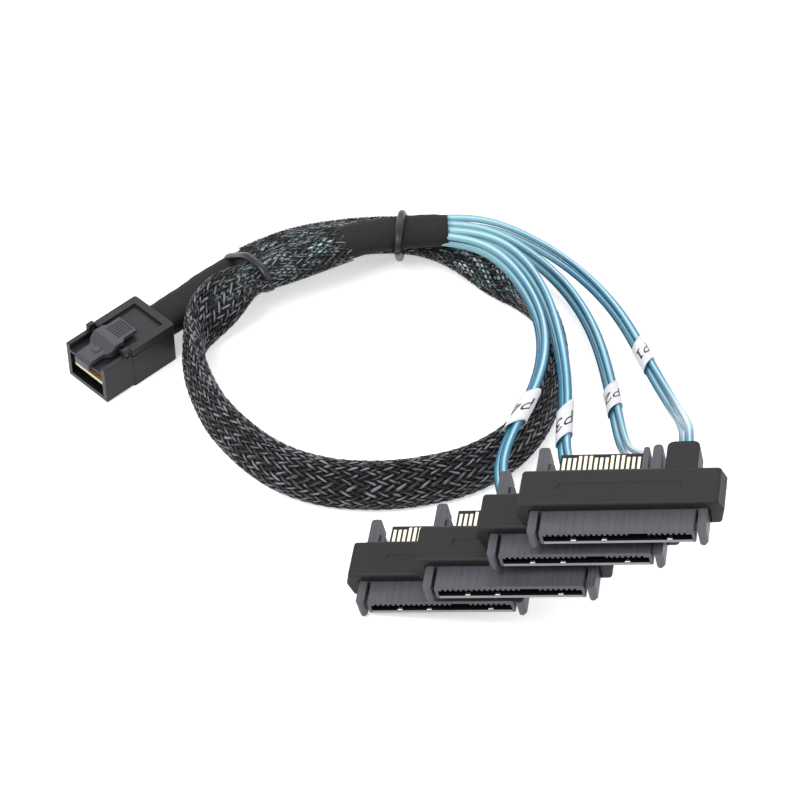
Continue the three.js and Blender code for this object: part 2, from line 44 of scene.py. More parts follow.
room = {
    "lookAt": (0.072693, -0.012576, 0.0),
    "standAt": (0.072693, -0.505655, 0.498270),
    "lens": 121.5,
    "paper": (0.93, 0.93, 0.93, 1),
    "paperGlow": 0.5,  # lifts the floor to white for the camera only
    "paperHalf": 3.0,
    "paperBelow": 0.0002,
    "skyLight": 0.55,
    "lamps": {  # place, size and power
        "keyLamp": ((-0.35, -0.35, 0.8), (0.5, 0.5), 5.2),
        "fillLamp": ((0.75, -0.3, 0.55), (0.6, 0.4), 1.6),
        "backLamp": ((0.1, 0.7, 0.6), (0.9, 0.3), 2.2),
    },
}


def makeCamera():
    data = bpy.data.cameras.new("photoCamera")
    data.lens = room["lens"]
    data.sensor_width = 36
    data.clip_start, data.clip_end = 0.01, 20
    camera = bpy.data.objects.new("photoCamera", data)
    bpy.context.scene.collection.objects.link(camera)
    stand, look = Vector(room["standAt"]), Vector(room["lookAt"])
    camera.location = stand
    camera.rotation_euler = (look - stand).to_track_quat("-Z", "Y").to_euler()
    bpy.context.scene.camera = camera


makeCamera()

# shader maths: a socket that adds, multiplies and so on as a number does


class Signal:
    def __init__(self, tree, link=None):
        self.tree, self.link = tree, link

    def node(self, kind, settings=None, inputs=None, out=0):
        # a node of any kind: its settings first, then the values or links of its sockets
        made = self.tree.nodes.new(kind)
        for name, value in (settings or {}).items():
            setattr(made, name, value)
        for name, value in (inputs or {}).items():
            if isinstance(value, Signal):
                self.tree.links.new(value.link, made.inputs[name])
            else:
                made.inputs[name].default_value = value
        return Signal(self.tree, made.outputs[out])

    def maths(self, operation, *values):
        return self.node("ShaderNodeMath", {"operation": operation}, dict(enumerate(values)))

    def __add__(self, other):
        return self.maths("ADD", self, other)

    def __sub__(self, other):
        return self.maths("SUBTRACT", self, other)

    def __mul__(self, other):
        return self.maths("MULTIPLY", self, other)

    def __rsub__(self, other):
        return self.maths("SUBTRACT", other, self)

    __radd__ = __add__
    __rmul__ = __mul__

    def above(self, level, soft=0.05):
        # 0 below the level, 1 above it, with a soft step between
        return self.node(
            "ShaderNodeMapRange",
            {"interpolation_type": "SMOOTHSTEP"},
            {0: self, 1: level - soft, 2: level + soft, 3: 0.0, 4: 1.0},
        )

    def wave(self, period, shift=0.0):
        # 0 to 1 and back once in each period
        return self.maths("SINE", self * (2 * math.pi / period) + shift) * 0.5 + 0.5

    def mixTo(self, low, high):
        # the colour low where this is 0 and high where it is 1
        return self.node("ShaderNodeMix", {"data_type": "RGBA"}, {0: self, 6: low, 7: high}, out=2)


class Finish:
    # one material: its Principled shader, and the places that its patterns are read from

    def __init__(self, name, colour, roughness, **fixed):
        self.material = bpy.data.materials.new(name)
        self.material.use_nodes = True
        self.tree = self.material.node_tree
        self.shader = self.tree.nodes["Principled BSDF"]
        self.start = Signal(self.tree)
        self.feed("Base Color", colour)
        self.feed("Roughness", roughness)
        for socket, value in fixed.items():
            self.feed(socket.replace("_", " "), value)

    def feed(self, socket, value):
        if isinstance(value, Signal):
            self.tree.links.new(value.link, self.shader.inputs[socket])
        else:
            self.shader.inputs[socket].default_value = value

    def place(self, turn=None):
        # object coordinates, turned back by the matrix that placed the piece
        seen = self.start.node("ShaderNodeTexCoord", out=3)
        if turn is None:
            return seen
        euler = turn.to_euler("XYZ")
        spot = turn.to_translation()
        return self.start.node(
            "ShaderNodeMapping",
            {"vector_type": "TEXTURE"},
            {"Vector": seen, "Location": spot, "Rotation": euler},
        )

    def along(self):
        # The piece's own UV map: x along it and y round it, in millimetres unless the finish says otherwise
        return self.start.node("ShaderNodeUVMap", {"uv_map": "UVMap"})

    def within(self, vector, low, high, soft=0.00003):
        # 1 inside a box of the given corners, 0 outside it
        inside = 1
        for axis, a, b in zip(self.parts(vector), low, high):
            inside = inside * (axis.above(a, soft) - axis.above(b, soft))
        return inside

    def parts(self, vector):
        made = self.start.node("ShaderNodeSeparateXYZ", None, {0: vector})
        return [Signal(self.tree, socket) for socket in made.link.node.outputs]

    def stretched(self, vector, scale):
        return self.start.node("ShaderNodeVectorMath", {"operation": "MULTIPLY"}, {0: vector, 1: scale})

    def noise(self, vector, scale, detail, rough=0.5):
        sockets = {"Vector": vector, "Scale": scale, "Detail": detail, "Roughness": rough}
        return self.start.node("ShaderNodeTexNoise", None, sockets)

    def bump(self, height, strength, distance, corner=0.0):
        # height pushed out by up to distance; corner is the radius that sharp edges seem to have
        inputs = {"Height": height, "Strength": strength, "Distance": distance}
        if corner:
            inputs["Normal"] = self.start.node("ShaderNodeBevel", {"samples": 6}, {"Radius": corner})
        self.feed("Normal", self.start.node("ShaderNodeBump", None, inputs))


# meshes and lines from arrays


def meshPiece(name, points, faces, finish, smooth=True, uv=None, closed=True):
    # points is an n by 3 array in metres, and uv has one pair for each face corner. A closed mesh has its
    # faces turned outwards here; an open one, such as the ink, comes with them turned already.
    mesh = bpy.data.meshes.new(name)
    mesh.from_pydata(np.asarray(points, float), [], faces if isinstance(faces, list) else faces.tolist())
    mesh.polygons.foreach_set("use_smooth", np.full(len(mesh.polygons), smooth))
    if uv is not None:
        mesh.uv_layers.new(name="UVMap").data.foreach_set("uv", np.asarray(uv, np.float32).ravel())
    mesh.materials.append(finish.material)
    if closed:
        solid = bmesh.new()
        solid.from_mesh(mesh)
        bmesh.ops.recalc_face_normals(solid, faces=solid.faces)
        solid.to_mesh(mesh)
        solid.free()
    mesh.update()
    thing = bpy.data.objects.new(name, mesh)
    bpy.context.scene.collection.objects.link(thing)
    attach(thing, "cable")
    return thing


def routeLine(points, step, ease):
    # A centripetal Catmull-Rom line: between two points it blends the three straight lines round them,
    # with knots at the square roots of the distances. It is cut into even steps, and eased by a
    # bell-shaped running mean whose spread is the length ease.
    p = np.asarray(points, float)
    p = np.vstack([2 * p[0] - p[1], p, 2 * p[-1] - p[-2]])
    knots = np.concatenate([[0], np.cumsum(np.sqrt(np.linalg.norm(np.diff(p, axis=0), axis=1)))])
    tau = np.linspace(knots[1], knots[-2], 24 * len(p))[:, None]
    i = np.clip(np.searchsorted(knots, tau[:, 0], side="right") - 1, 1, len(p) - 3)
    t = [knots[i + k][:, None] for k in (-1, 0, 1, 2)]
    q = [p[i + k] for k in (-1, 0, 1, 2)]

    def between(a, b, ta, tb):
        return (a * (tb - tau) + b * (tau - ta)) / (tb - ta)

    a = [between(q[k], q[k + 1], t[k], t[k + 1]) for k in range(3)]
    b = [between(a[k], a[k + 1], t[k], t[k + 2]) for k in range(2)]
    line = evenLine(between(b[0], b[1], t[1], t[2]), step)
    reach = int(3 * ease / step)
    weights = np.exp(-0.5 * (np.arange(-reach, reach + 1) * step / ease) ** 2)
    weights /= weights.sum()
    front = 2 * line[0] - line[reach:0:-1]  # the line turned about its ends, so that they stay in place
    back = 2 * line[-1] - line[-2 : -reach - 2 : -1]
    padded = np.vstack([front, line, back])
    line = np.stack([np.convolve(padded[:, k], weights, "valid") for k in range(3)], axis=1)
    return evenLine(line, step)


def unit(vectors):
    return vectors / np.linalg.norm(vectors, axis=-1, keepdims=True)


def arcLengths(line):
    # length from the line's start to each of its points
    return np.concatenate([[0], np.cumsum(np.linalg.norm(np.diff(line, axis=0), axis=1))])


def readAt(want, s, values):
    # values has a row for each arc length in s, and is read here at other arc lengths
    return np.stack([np.interp(want, s, values[:, k]) for k in range(3)], axis=-1)


def evenLine(line, step):
    # the same line with its points at equal distances, about a step apart
    s = arcLengths(line)
    want = np.linspace(0, s[-1], max(2, int(round(s[-1] / step)) + 1))
    return readAt(want, s, line)


def lineFrame(line, roll=0.0):
    # Across and up at each point of a line: across is level and square to the line, and both are then
    # turned about the line by roll, which may change along it.
    tangent = unit(np.gradient(line, axis=0))
    across = unit(np.cross([0.0, 0.0, 1.0], tangent))
    up = np.cross(tangent, across)
    roll = np.broadcast_to(roll, len(line))[:, None]
    return tangent, np.cos(roll) * across + np.sin(roll) * up, np.cos(roll) * up - np.sin(roll) * across


def ovalOutline(theta, half, thick, power):
    # A superellipse: x is half times the cosine, y is thick times the sine, each raised to 2 / power
    c, s = np.cos(theta), np.sin(theta)
    return half * np.sign(c) * np.abs(c) ** (2 / power), thick * np.sign(s) * np.abs(s) ** (2 / power)


def gridFaces(rows, columns):
    # quads of a grid whose columns close into a ring
    row = np.arange(rows - 1)[:, None] * columns
    c = np.arange(columns)[None, :]
    n = (c + 1) % columns
    quads = np.stack([row + columns + c, row + columns + n, row + n, row + c], axis=-1)
    return quads.reshape(-1, 4)


def ringFaces(rows, columns):
    # the same, with the last row joined to the first
    return gridFaces(rows + 1, columns) % (rows * columns)


def endFaces(rows, columns):
    # one face across each end of such a grid
    return [list(range(columns)), list(range(rows * columns - 1, (rows - 1) * columns - 1, -1))]


def sweptTube(name, line, outline, finish, roll=0.0):
    # A closed outline carried along a line: point = line + across * x + up * y. outline gives x and y as
    # one row for each point of the line. Its UV is millimetres along and round.
    x, y = outline
    _, across, up = lineFrame(line, roll)
    points = line[:, None, :] + across[:, None, :] * x[..., None] + up[:, None, :] * y[..., None]
    rows, columns = points.shape[:2]
    s = arcLengths(line) * 1000
    around = np.linalg.norm(np.roll(points, -1, axis=1) - points, axis=2).mean(axis=0).cumsum() * 1000
    around = np.concatenate([[0], around])
    r, c = np.divmod(np.arange((rows - 1) * columns), columns)
    u = np.stack([s[r + 1], s[r + 1], s[r], s[r]], axis=1)
    v = np.stack([around[c], around[c + 1], around[c + 1], around[c]], axis=1)
    uv = np.vstack([np.stack([u, v], axis=-1).reshape(-1, 2), np.zeros((2 * columns, 2))])
    faces = gridFaces(rows, columns).tolist() + endFaces(rows, columns)
    return meshPiece(name, points.reshape(-1, 3), faces, finish, uv=uv)


# finishes: colours and marked places are in a dictionary by each, where "plain" is the colour under the
# patterns; colours are red, green, blue and alpha

plugLook = {
    "plain": (0.02, 0.02, 0.024, 1),
    "dark": (0.008, 0.008, 0.01, 1),
    "light": (0.023, 0.023, 0.027, 1),
    "rim": (0.05, 0.05, 0.055, 1),
    "rimAt": -0.01197,  # the front face, along the plug's own x
    # painted shade: near black for the inside of the mouth, in the box below
    "mouth": (0.0012, 0.0012, 0.0014, 1),
    "shadedMouthBox": ((-0.01195, -0.0063, 0.00165), (0.0, 0.0063, 0.00935)),
    "yaw": math.pi / 4,
}


def plugFinish():
    # matt black moulding with a paler front rim, and painted shade darkening the inside of its mouth
    plastic = Finish("plugPlastic", plugLook["plain"], 0.42, Specular_IOR_Level=0.28)
    spot = plastic.place()
    grain = plastic.noise(spot, scale=2600, detail=3)
    clouds = plastic.noise(spot, scale=160, detail=3)
    own = plastic.place(Matrix.Rotation(plugLook["yaw"], 4, "Z"))
    # mask of the painted shade inside the mouth
    mouth = plastic.within(own, *plugLook["shadedMouthBox"])
    rim = 1 - plastic.parts(own)[0].above(plugLook["rimAt"], soft=0.00002)
    outer = clouds.mixTo(plugLook["dark"], plugLook["light"])
    front = rim.mixTo(outer, plugLook["rim"])
    plastic.feed("Base Color", mouth.mixTo(front, plugLook["mouth"]))
    plastic.feed("Roughness", grain * 0.16 + 0.36)
    plastic.bump(grain, strength=0.22, distance=0.00006, corner=0.0003)
    return plastic


specks = {
    "latchPlastic": {
        "plain": (0.05, 0.05, 0.06, 1),
        "dark": (0.042, 0.041, 0.052, 1),
        "light": (0.068, 0.066, 0.082, 1),
        "roughness": (0.38, 0.14, 0.33),  # plain, then the grain's share and the least
        "shine": 0.35,
        "grain": (2200, 3),
        "bump": (0.15, 0.00005, 0.0003),
    },
    "tieRubber": {
        "plain": (0.01, 0.01, 0.013, 1),
        "dark": (0.006, 0.006, 0.009, 1),
        "light": (0.016, 0.016, 0.021, 1),
        "roughness": (0.3, 0.18, 0.24),
        "shine": 0.45,
        "grain": (900, 3),
        "bump": (0.08, 0.00008),
    },
    "markerTube": {
        "plain": (0.8, 0.8, 0.83, 1),
        "dark": (0.76, 0.76, 0.79, 1),
        "light": (0.86, 0.86, 0.89, 1),
        "roughness": (0.45, 0.2, 0.35),
        "shine": 0.5,
        "grain": (500, 3),
        "bump": (0.12, 0.0001),
    },
    "markerInk": {
        "plain": (0.015, 0.015, 0.017, 1),
        "dark": (0.006, 0.006, 0.007, 1),
        "light": (0.04, 0.04, 0.045, 1),
        "roughness": (0.55,),
        "shine": 0.5,
        "grain": (4000, 2),
    },
    "slotInsert": {
        "plain": (0.012, 0.012, 0.014, 1),
        "dark": (0.004, 0.004, 0.005, 1),
        "light": (0.014, 0.014, 0.016, 1),
        "roughness": (0.5,),
        "shine": 0.5,
        "grain": (1200, 2),
    },
}


def speckedFinish(name):
    # an even plastic, rubber or ink, with one fine grain in its colour, and in its roughness and height
    # where they are given
    look = specks[name]
    roughness, *spread = look["roughness"]
    made = Finish(name, look["plain"], roughness, Specular_IOR_Level=look["shine"])
    grain = made.noise(made.place(), *look["grain"])
    made.feed("Base Color", grain.mixTo(look["dark"], look["light"]))
    if spread:
        made.feed("Roughness", grain * spread[0] + spread[1])
        made.bump(grain, *look["bump"])
    return made


pinLook = {"plain": (0.03, 0.03, 0.034, 1), "polish": (400, 400, 4000)}  # polishing marks to the metre


def steelFinish():
    steel = Finish("pinSteel", pinLook["plain"], 0.4, Metallic=0.6)
    marks = steel.noise(steel.stretched(steel.place(), pinLook["polish"]), scale=1, detail=2)
    steel.feed("Roughness", marks * 0.2 + 0.2)
    return steel


cardLook = {
    "plain": (0.7, 0.62, 0.36, 1),
    "edge": ((0.68, 0.64, 0.42, 1), (0.86, 0.82, 0.6, 1)),
    "mask": ((0.2, 0.1, 0.02, 1), (0.3, 0.16, 0.035, 1)),
}


def cardFinish():
    # pale laminate at the edges, brown mask on the faces that look up
    card = Finish("cardLaminate", cardLook["plain"], 0.45)
    _, _, facing = card.parts(card.start.node("ShaderNodeNewGeometry", out=1))
    weave = card.noise(card.place(), scale=900, detail=2)
    edge, mask = weave.mixTo(*cardLook["edge"]), weave.mixTo(*cardLook["mask"])
    card.feed("Base Color", facing.above(0.7).mixTo(edge, mask))
    card.bump(weave, strength=0.1, distance=0.00005)
    return card


goldLooks = {  # colour and roughness
    "bladeGold": ((0.95, 0.86, 0.66, 1), 0.25),
    "contactGold": ((0.95, 0.93, 0.88, 1), 0.3),
}


def goldFinish(name):
    colour, roughness = goldLooks[name]
    gold = Finish(name, colour, roughness, Metallic=1.0)
    wear = gold.noise(gold.place(), scale=700, detail=3)
    gold.feed("Roughness", wear * 0.25 + roughness - 0.08)
    return gold


tapeLook = {
    "plain": (0.01, 0.01, 0.011, 1),
    "dark": (0.0015, 0.0015, 0.002, 1),
    "light": (0.009, 0.009, 0.01, 1),
    "rib": 0.56,  # millimetres from one rib to the next
    "thread": 0.55,
}


def tapeFinish(name, across):
    # cloth tape: fine ribs, crossed by finer threads; across says that the ribs run round the bundle
    tape = Finish(name, tapeLook["plain"], 0.75, Specular_IOR_Level=0.3)
    along, around, _ = tape.parts(tape.along())
    wobble = tape.noise(tape.stretched(tape.along(), (0.12, 2.2, 1)), scale=1, detail=3)
    if across:
        along, around = around, along
    ribs = (around + wobble * 0.3).wave(tapeLook["rib"])
    weave = ribs * 0.8 + along.wave(tapeLook["thread"]) * 0.2
    tape.feed("Base Color", weave.mixTo(tapeLook["dark"], tapeLook["light"]))
    tape.feed("Roughness", 0.8 - ribs * 0.22)
    tape.bump(weave + wobble * 0.5, strength=0.4, distance=0.0001)
    return tape


strandLook = {
    "plain": (0.02, 0.021, 0.024, 1),
    "dark": (0.0008, 0.0008, 0.0012, 1),
    # painted highlight: the colour painted at the tops of some floats
    "paintedGlint": (0.4, 0.42, 0.46, 1),
    "threads": 3,  # in each strand
}


def strandFinish():
    # Polyester monofilament: dark and smooth, with a painted highlight in the colour at the tops of some
    # floats.
    # The UV's x counts the floats, and its y is the share across the strand.
    strand = Finish("braidStrand", strandLook["plain"], 0.26, Specular_IOR_Level=0.3)
    along, around, _ = strand.parts(strand.along())
    threads = around.wave(1 / strandLook["threads"])
    over = along.wave(1.0, math.pi / 2)
    tone = strand.noise(strand.stretched(strand.along(), (1.3, 0.9, 1)), scale=1, detail=2)
    # painted highlight at the tops of some floats, where the noise is high
    paintedGlint = over.above(0.64, soft=0.2) * tone.above(0.54, soft=0.1) * (threads * 0.7 + 0.3)
    strand.feed("Base Color", paintedGlint.mixTo(strandLook["dark"], strandLook["paintedGlint"]))
    strand.feed("Roughness", 0.5 - paintedGlint * 0.3)
    strand.bump(threads, strength=0.4, distance=0.00008)
    return strand


coreLook = {
    # plain and dark are painted shade for the inside of the sleeve
    "plain": (0.012, 0.013, 0.015, 1),
    "dark": (0.01, 0.012, 0.014, 1),
    "blueLead": (0.06, 0.36, 0.42, 1),
    # painted highlight: white highlights on the leads
    "paintedLeadGlint": (1.0, 1.0, 1.0, 1),
    "litUntil": (128, 26),  # millimetres along the bundle, and how soft the change is
    "litAgain": (318, 10),
}


def coreFinish():
    # what shows between the strands: blue leads with painted white highlights along the top stretch, painted
    # shade elsewhere
    core = Finish("bundleCore", coreLook["plain"], 0.35)
    along, _, _ = core.parts(core.along())
    ragged = core.noise(core.stretched(core.along(), (0.16, 0.55, 1)), scale=1, detail=2)
    lit = (1 - along.above(*coreLook["litUntil"])) + along.above(*coreLook["litAgain"])
    gap = ragged.above(0.5, soft=0.03) * lit
    tint = core.noise(core.stretched(core.along(), (0.1, 1.1, 1)), scale=1.4, detail=1)
    wire = tint.above(0.5, soft=0.15).mixTo(coreLook["blueLead"], coreLook["paintedLeadGlint"])
    # painted shade except in the gaps along the top stretch, which show blue leads with painted white
    # highlights
    core.feed("Base Color", gap.mixTo(coreLook["dark"], wire))
    core.feed("Roughness", 0.5 - gap * 0.3)
    return core


leadLook = {
    "plain": (0.3, 0.62, 0.78, 1),
    # painted shade: deeper blue in the hollows
    "paintedShade": (0.003, 0.065, 0.135, 1),
    "wire": (0.08, 0.37, 0.54, 1),
    # painted highlight: the bright lines along the wires
    "paintedHighlight": (0.72, 0.93, 0.98, 1),
    "pale": (0.5, 0.85, 0.88, 1),  # where the leads come out of the tape
    "paleUntil": (26, 18),  # millimetres along the lead, and how soft the change is
}


def leadFinish():
    # A clear blue jacket over foil: painted highlights as bright lines along the two wires, and painted
    # shade as deeper blue in the hollows. The UV's y runs round the ribbon in shares of its outline, from 0
    # to 1.
    lead = Finish("twinLead", leadLook["plain"], 0.2, Specular_IOR_Level=0.4)
    along, around, _ = lead.parts(lead.along())
    crinkle = lead.noise(lead.stretched(lead.along(), (0.9, 22, 1)), scale=1, detail=3, rough=0.6)
    streaks = lead.noise(lead.stretched(lead.along(), (0.06, 30, 1)), scale=1, detail=2)
    wires = (around + crinkle * 0.03).wave(0.5, -math.pi / 2)
    jacket = wires.mixTo(leadLook["paintedShade"], leadLook["wire"])
    # mask of the painted highlights along the wires and on some crinkles
    bright = wires.above(0.9, soft=0.08) * (streaks * 0.5 + 0.35) + crinkle.above(0.66) * 0.25
    pale = 1 - along.above(*leadLook["paleUntil"])
    shown = bright.mixTo(jacket, leadLook["paintedHighlight"])
    lead.feed("Base Color", (pale * 0.4).mixTo(shown, leadLook["pale"]))
    lead.feed("Roughness", crinkle * 0.2 + 0.12)
    lead.bump(crinkle * 0.4 + wires * 0.6, strength=0.35, distance=0.00012)
    return lead


shellLook = {
    "plain": (0.008, 0.008, 0.009, 1),
    "dark": (0.002, 0.002, 0.0025, 1),
    "light": (0.022, 0.022, 0.023, 1),
}


def shellFinish(turn):
    # over-moulding with a fine spark-eroded grain
    shell = Finish("shellMoulding", shellLook["plain"], 0.5, Specular_IOR_Level=0.3)
    spot = shell.place(turn)
    grain = shell.noise(spot, scale=1500, detail=4, rough=0.65)
    clouds = shell.noise(spot, scale=90, detail=3)
    shell.feed("Base Color", (grain * 0.6 + clouds * 0.4).mixTo(shellLook["dark"], shellLook["light"]))
    shell.feed("Roughness", grain * 0.3 + 0.36)
    shell.bump(grain, strength=0.4, distance=0.00012, corner=0.00045)
    return shell


matingLook = {
    "plain": (0.08, 0.079, 0.092, 1),
    "dark": (0.03, 0.03, 0.036, 1),
    "light": (0.14, 0.138, 0.16, 1),
    # painted shade: near black in the slot and on the tongue
    "paintedShade": (0.002, 0.002, 0.0025, 1),
    "shadedSlotBox": ((-0.01725, -0.01115, 0.00166), (0.01725, -0.005, 0.00422)),
    "shadedTongueBox": ((-0.0158, 0.0063, 0.0042), (0.0045, 0.013, 0.0046)),
    # painted highlight: a pale strip on the front face of the lip
    "lip": (0.3, 0.3, 0.33, 1),
    "lipHighlightBox": ((-0.0172, -0.0115, 0.0), (0.0172, -0.01117, 0.00172)),
}


def matingFinish(turn):
    # glass-filled plastic with flow streaks from front to back; painted highlight on the lip under the slot,
    # painted shade in the slot and on the tongue
    mating = Finish("matingPlastic", matingLook["plain"], 0.5, Specular_IOR_Level=0.35)
    spot = mating.place(turn)
    streaks = mating.noise(mating.stretched(spot, (1700, 90, 500)), scale=1, detail=3, rough=0.6)
    grain = mating.noise(spot, scale=2400, detail=2)
    plastic = (streaks * 0.75 + grain * 0.25).mixTo(matingLook["dark"], matingLook["light"])
    # masks of the painted shade in the slot and on the tongue
    slot = mating.within(spot, *matingLook["shadedSlotBox"])
    tongue = mating.within(spot, *matingLook["shadedTongueBox"])
    # mask of the painted highlight on the lip
    lip = mating.within(spot, *matingLook["lipHighlightBox"])
    withLipHighlight = lip.mixTo(plastic, matingLook["lip"])
    mating.feed("Base Color", (slot + tongue).mixTo(withLipHighlight, matingLook["paintedShade"]))
    mating.feed("Roughness", streaks * 0.25 + 0.34)
    mating.bump(streaks * 0.7 + grain * 0.3, strength=0.25, distance=0.00008, corner=0.0002)
    return mating


# the flat bundle, one cord from the host plug to the breakout tape

bundle = {
    "neck": [
        (0.0072, 0.0072, 0.0064), (0.012, 0.012, 0.0062), (0.017, 0.0175, 0.0058), (0.022, 0.0235, 0.0054),
        (0.027, 0.0285, 0.0053), (0.032, 0.0325, 0.0053), (0.0355, 0.0352, 0.0052),
    ],
    "firstPass": [
        (0.0361, 0.0356, 0.0052), (0.0415, 0.039, 0.0051), (0.048, 0.042, 0.005), (0.055, 0.0437, 0.005),
        (0.0615, 0.0447, 0.0051), (0.0675, 0.045, 0.0052), (0.0732, 0.045, 0.0052), (0.0795, 0.0438, 0.0052),
        (0.0852, 0.0412, 0.0051), (0.091, 0.0375, 0.005), (0.097, 0.0325, 0.005), (0.1015, 0.0272, 0.0052),
    ],
    "loop": [
        (0.1018, 0.0268, 0.0066), (0.106, 0.0205, 0.0065), (0.1095, 0.014, 0.0065), (0.1118, 0.007, 0.0065),
        (0.1125, -0.0005, 0.0065), (0.1117, -0.01, 0.0065), (0.1096, -0.0195, 0.0065),
        (0.1062, -0.028, 0.0065), (0.1012, -0.0355, 0.0065), (0.0947, -0.0415, 0.0065),
        (0.0875, -0.0457, 0.0065), (0.08, -0.0482, 0.0065), (0.0725, -0.0495, 0.0065),
        (0.0605, -0.0494, 0.0065), (0.0503, -0.047, 0.0065), (0.0414, -0.0417, 0.0065),
        (0.0336, -0.0335, 0.0065), (0.0273, -0.0237, 0.0065), (0.0226, -0.0136, 0.0065),
        (0.02, -0.0044, 0.0065), (0.0198, 0.004, 0.0067), (0.0213, 0.0092, 0.0074), (0.0237, 0.013, 0.0084),
        (0.0257, 0.0159, 0.0094),
    ],
    "returnPass": [
        (0.0262, 0.0166, 0.0104), (0.031, 0.0224, 0.0105), (0.036, 0.026, 0.0106), (0.041, 0.0288, 0.0107),
        (0.047, 0.0319, 0.0108), (0.0539, 0.0349, 0.0109),
    ],
    "breakout": [
        (0.0543, 0.0351, 0.0109), (0.0597, 0.0371, 0.011), (0.066, 0.039, 0.011), (0.0732, 0.0404, 0.011),
        (0.0787, 0.0409, 0.011), (0.0835, 0.041, 0.011),
    ],
    "plugExit": (0.0085, 0.0085, 0.0064),
    "leanAt": [
        (0.1018, 0.0268, 0.0066), (0.1125, -0.0005, 0.0065), (0.1062, -0.028, 0.0065),
        (0.08, -0.0482, 0.0065), (0.0503, -0.047, 0.0065), (0.0273, -0.0237, 0.0065),
        (0.0198, 0.004, 0.0067), (0.0257, 0.0159, 0.0094), (0.036, 0.026, 0.0106),
        (0.047, 0.0319, 0.0108), (0.0597, 0.0371, 0.011),
    ],
    "lean": [4, 11, 15, 19, 19, 11, 5, 0, 0, 0, 0],  # degrees
    "bulge": [0.0008, 0.0022, 0.0013, 0.0005, 0.0012, 0.0026, 0.0013, -0.0003, -0.0014, -0.0012, 0.0],
    "sleeveHalf": 0.0063,
    "sleeveThick": 0.00245,
    "sleevePower": 2.3,
    "step": 0.0008,
    "ease": 0.0025,
    "standUp": (-0.022, 0.016),  # from before the loop's first point to after it, turning on edge
    "lieDown": (-0.022, 0.012),
    "footShare": 0.8,  # the leaning band turns this share of its half width below its middle
    "pinchAt": (0.0325, 0.0236, 0.0105),
    "pinch": 0.2,
    "pinchReach": 0.006,
    "coreInset": 0.0003,  # the body lies this far under the strands
    "underNeckTape": (0.3, -0.01, 0.004),  # share that the core loses, and where that starts and ends
    "underBreakoutTape": (0.16, -0.004, 0.01),
    "strands": 28,  # each way round
    "lay": 0.082,  # along the sleeve for one turn of a strand
    "strandStep": 0.00095,
    "strandUnderTape": 0.003,
    "strandHalf": 0.0004,
    "strandCrown": 0.00011,  # height of its middle over its edges
    "meanRadius": 0.0046,  # the round sleeve's, which gives the strands' angle
    "leastRadius": 0.0012,  # keeps the strands from spreading at the oval's two thin edges
    "weaveLift": 0.0002,  # half the climb from under to over
    "strandDepth": 0.00055,  # how far the strands stand out from the sleeve's oval
    "openWeave": 0.34,  # share by which strands narrow where the leads show through
    "openUntil": (0.12, 0.15),  # the arcs over which the weave closes
    "openAgain": (0.312, 0.328),  # and opens again
}

bundleLine = routeLine(
    bundle["neck"] + bundle["firstPass"] + bundle["loop"] + bundle["returnPass"] + bundle["breakout"],
    bundle["step"],
    bundle["ease"],
)
bundleArc = arcLengths(bundleLine)
print("bundle length", round(bundleArc[-1], 4))


def arcNear(point):
    # the arc length at which the bundle comes nearest to the point
    return bundleArc[np.argmin(np.linalg.norm(bundleLine - np.array(point), axis=1))]


def sectionArcs():
    return {
        "neckEnd": arcNear(bundle["neck"][-1]),
        "standUp": arcNear(bundle["loop"][0]),
        "lieDown": arcNear(bundle["loop"][-1]),
        "tapeStart": arcNear(bundle["breakout"][0]),
    }


arcs = sectionArcs()


def easeStep(value, low, high):
    # from 0 at low to 1 at high: three times the share squared, less twice the share cubed
    t = np.clip((value - low) / (high - low), 0, 1)
    return t * t * (3 - 2 * t)


# Roll of the flat bundle: level along the top, on edge round the loop, level again over the neck
bundleRoll = (math.pi / 2) * (
    easeStep(bundleArc - arcs["standUp"], *bundle["standUp"])
    - easeStep(bundleArc - arcs["lieDown"], *bundle["lieDown"])
)
# The standing band leans inwards at its top, most at the near side; its foot stays where it is
leanArcs = [arcNear(point) for point in bundle["leanAt"]]
bundleLean = np.interp(bundleArc, leanArcs, np.radians(bundle["lean"])) * np.sin(bundleRoll) ** 4
_, bundleOut, _ = lineFrame(bundleLine)
bulge = np.interp(bundleArc, leanArcs, bundle["bulge"])
footMove = bundle["sleeveHalf"] * bundle["footShare"] * np.sin(bundleLean)
bundleLine += bundleOut * (bulge - footMove)[:, None]
bundleRoll = bundleRoll + bundleLean
# no part of it goes below the floor
standing = np.hypot(
    bundle["sleeveHalf"] * np.sin(bundleRoll), bundle["sleeveThick"] * np.cos(bundleRoll)
)
bundleLine[:, 2] = np.maximum(bundleLine[:, 2], standing + bundle["strandDepth"])
# the line has moved, so its lengths are taken again
bundleArc = arcLengths(bundleLine)
arcs = sectionArcs()


def pinch(arc):
    # share of its width that the sleeve keeps: less where the left tie draws it in
    middle = arcNear(bundle["pinchAt"])
    return 1 - bundle["pinch"] * np.exp(-(((arc - middle) / bundle["pinchReach"]) ** 2))


def bundleSurface(arc, theta, lift):
    # A point on the sleeve: the line's point at arc, plus the oval outline in the rolled frame, plus lift
    # along the outline's own normal
    _, across, up = lineFrame(bundleLine, bundleRoll)
    point, across, up = (readAt(arc, bundleArc, values) for values in (bundleLine, across, up))
    half, thick = bundle["sleeveHalf"] * pinch(arc), bundle["sleeveThick"]
    x, y = ovalOutline(theta, half, thick, bundle["sleevePower"])
    nx, ny = np.cos(theta) / half, np.sin(theta) / thick
    size = np.hypot(nx, ny)
    x, y = x + lift * nx / size, y + lift * ny / size
    return point + across * x[..., None] + up * y[..., None]


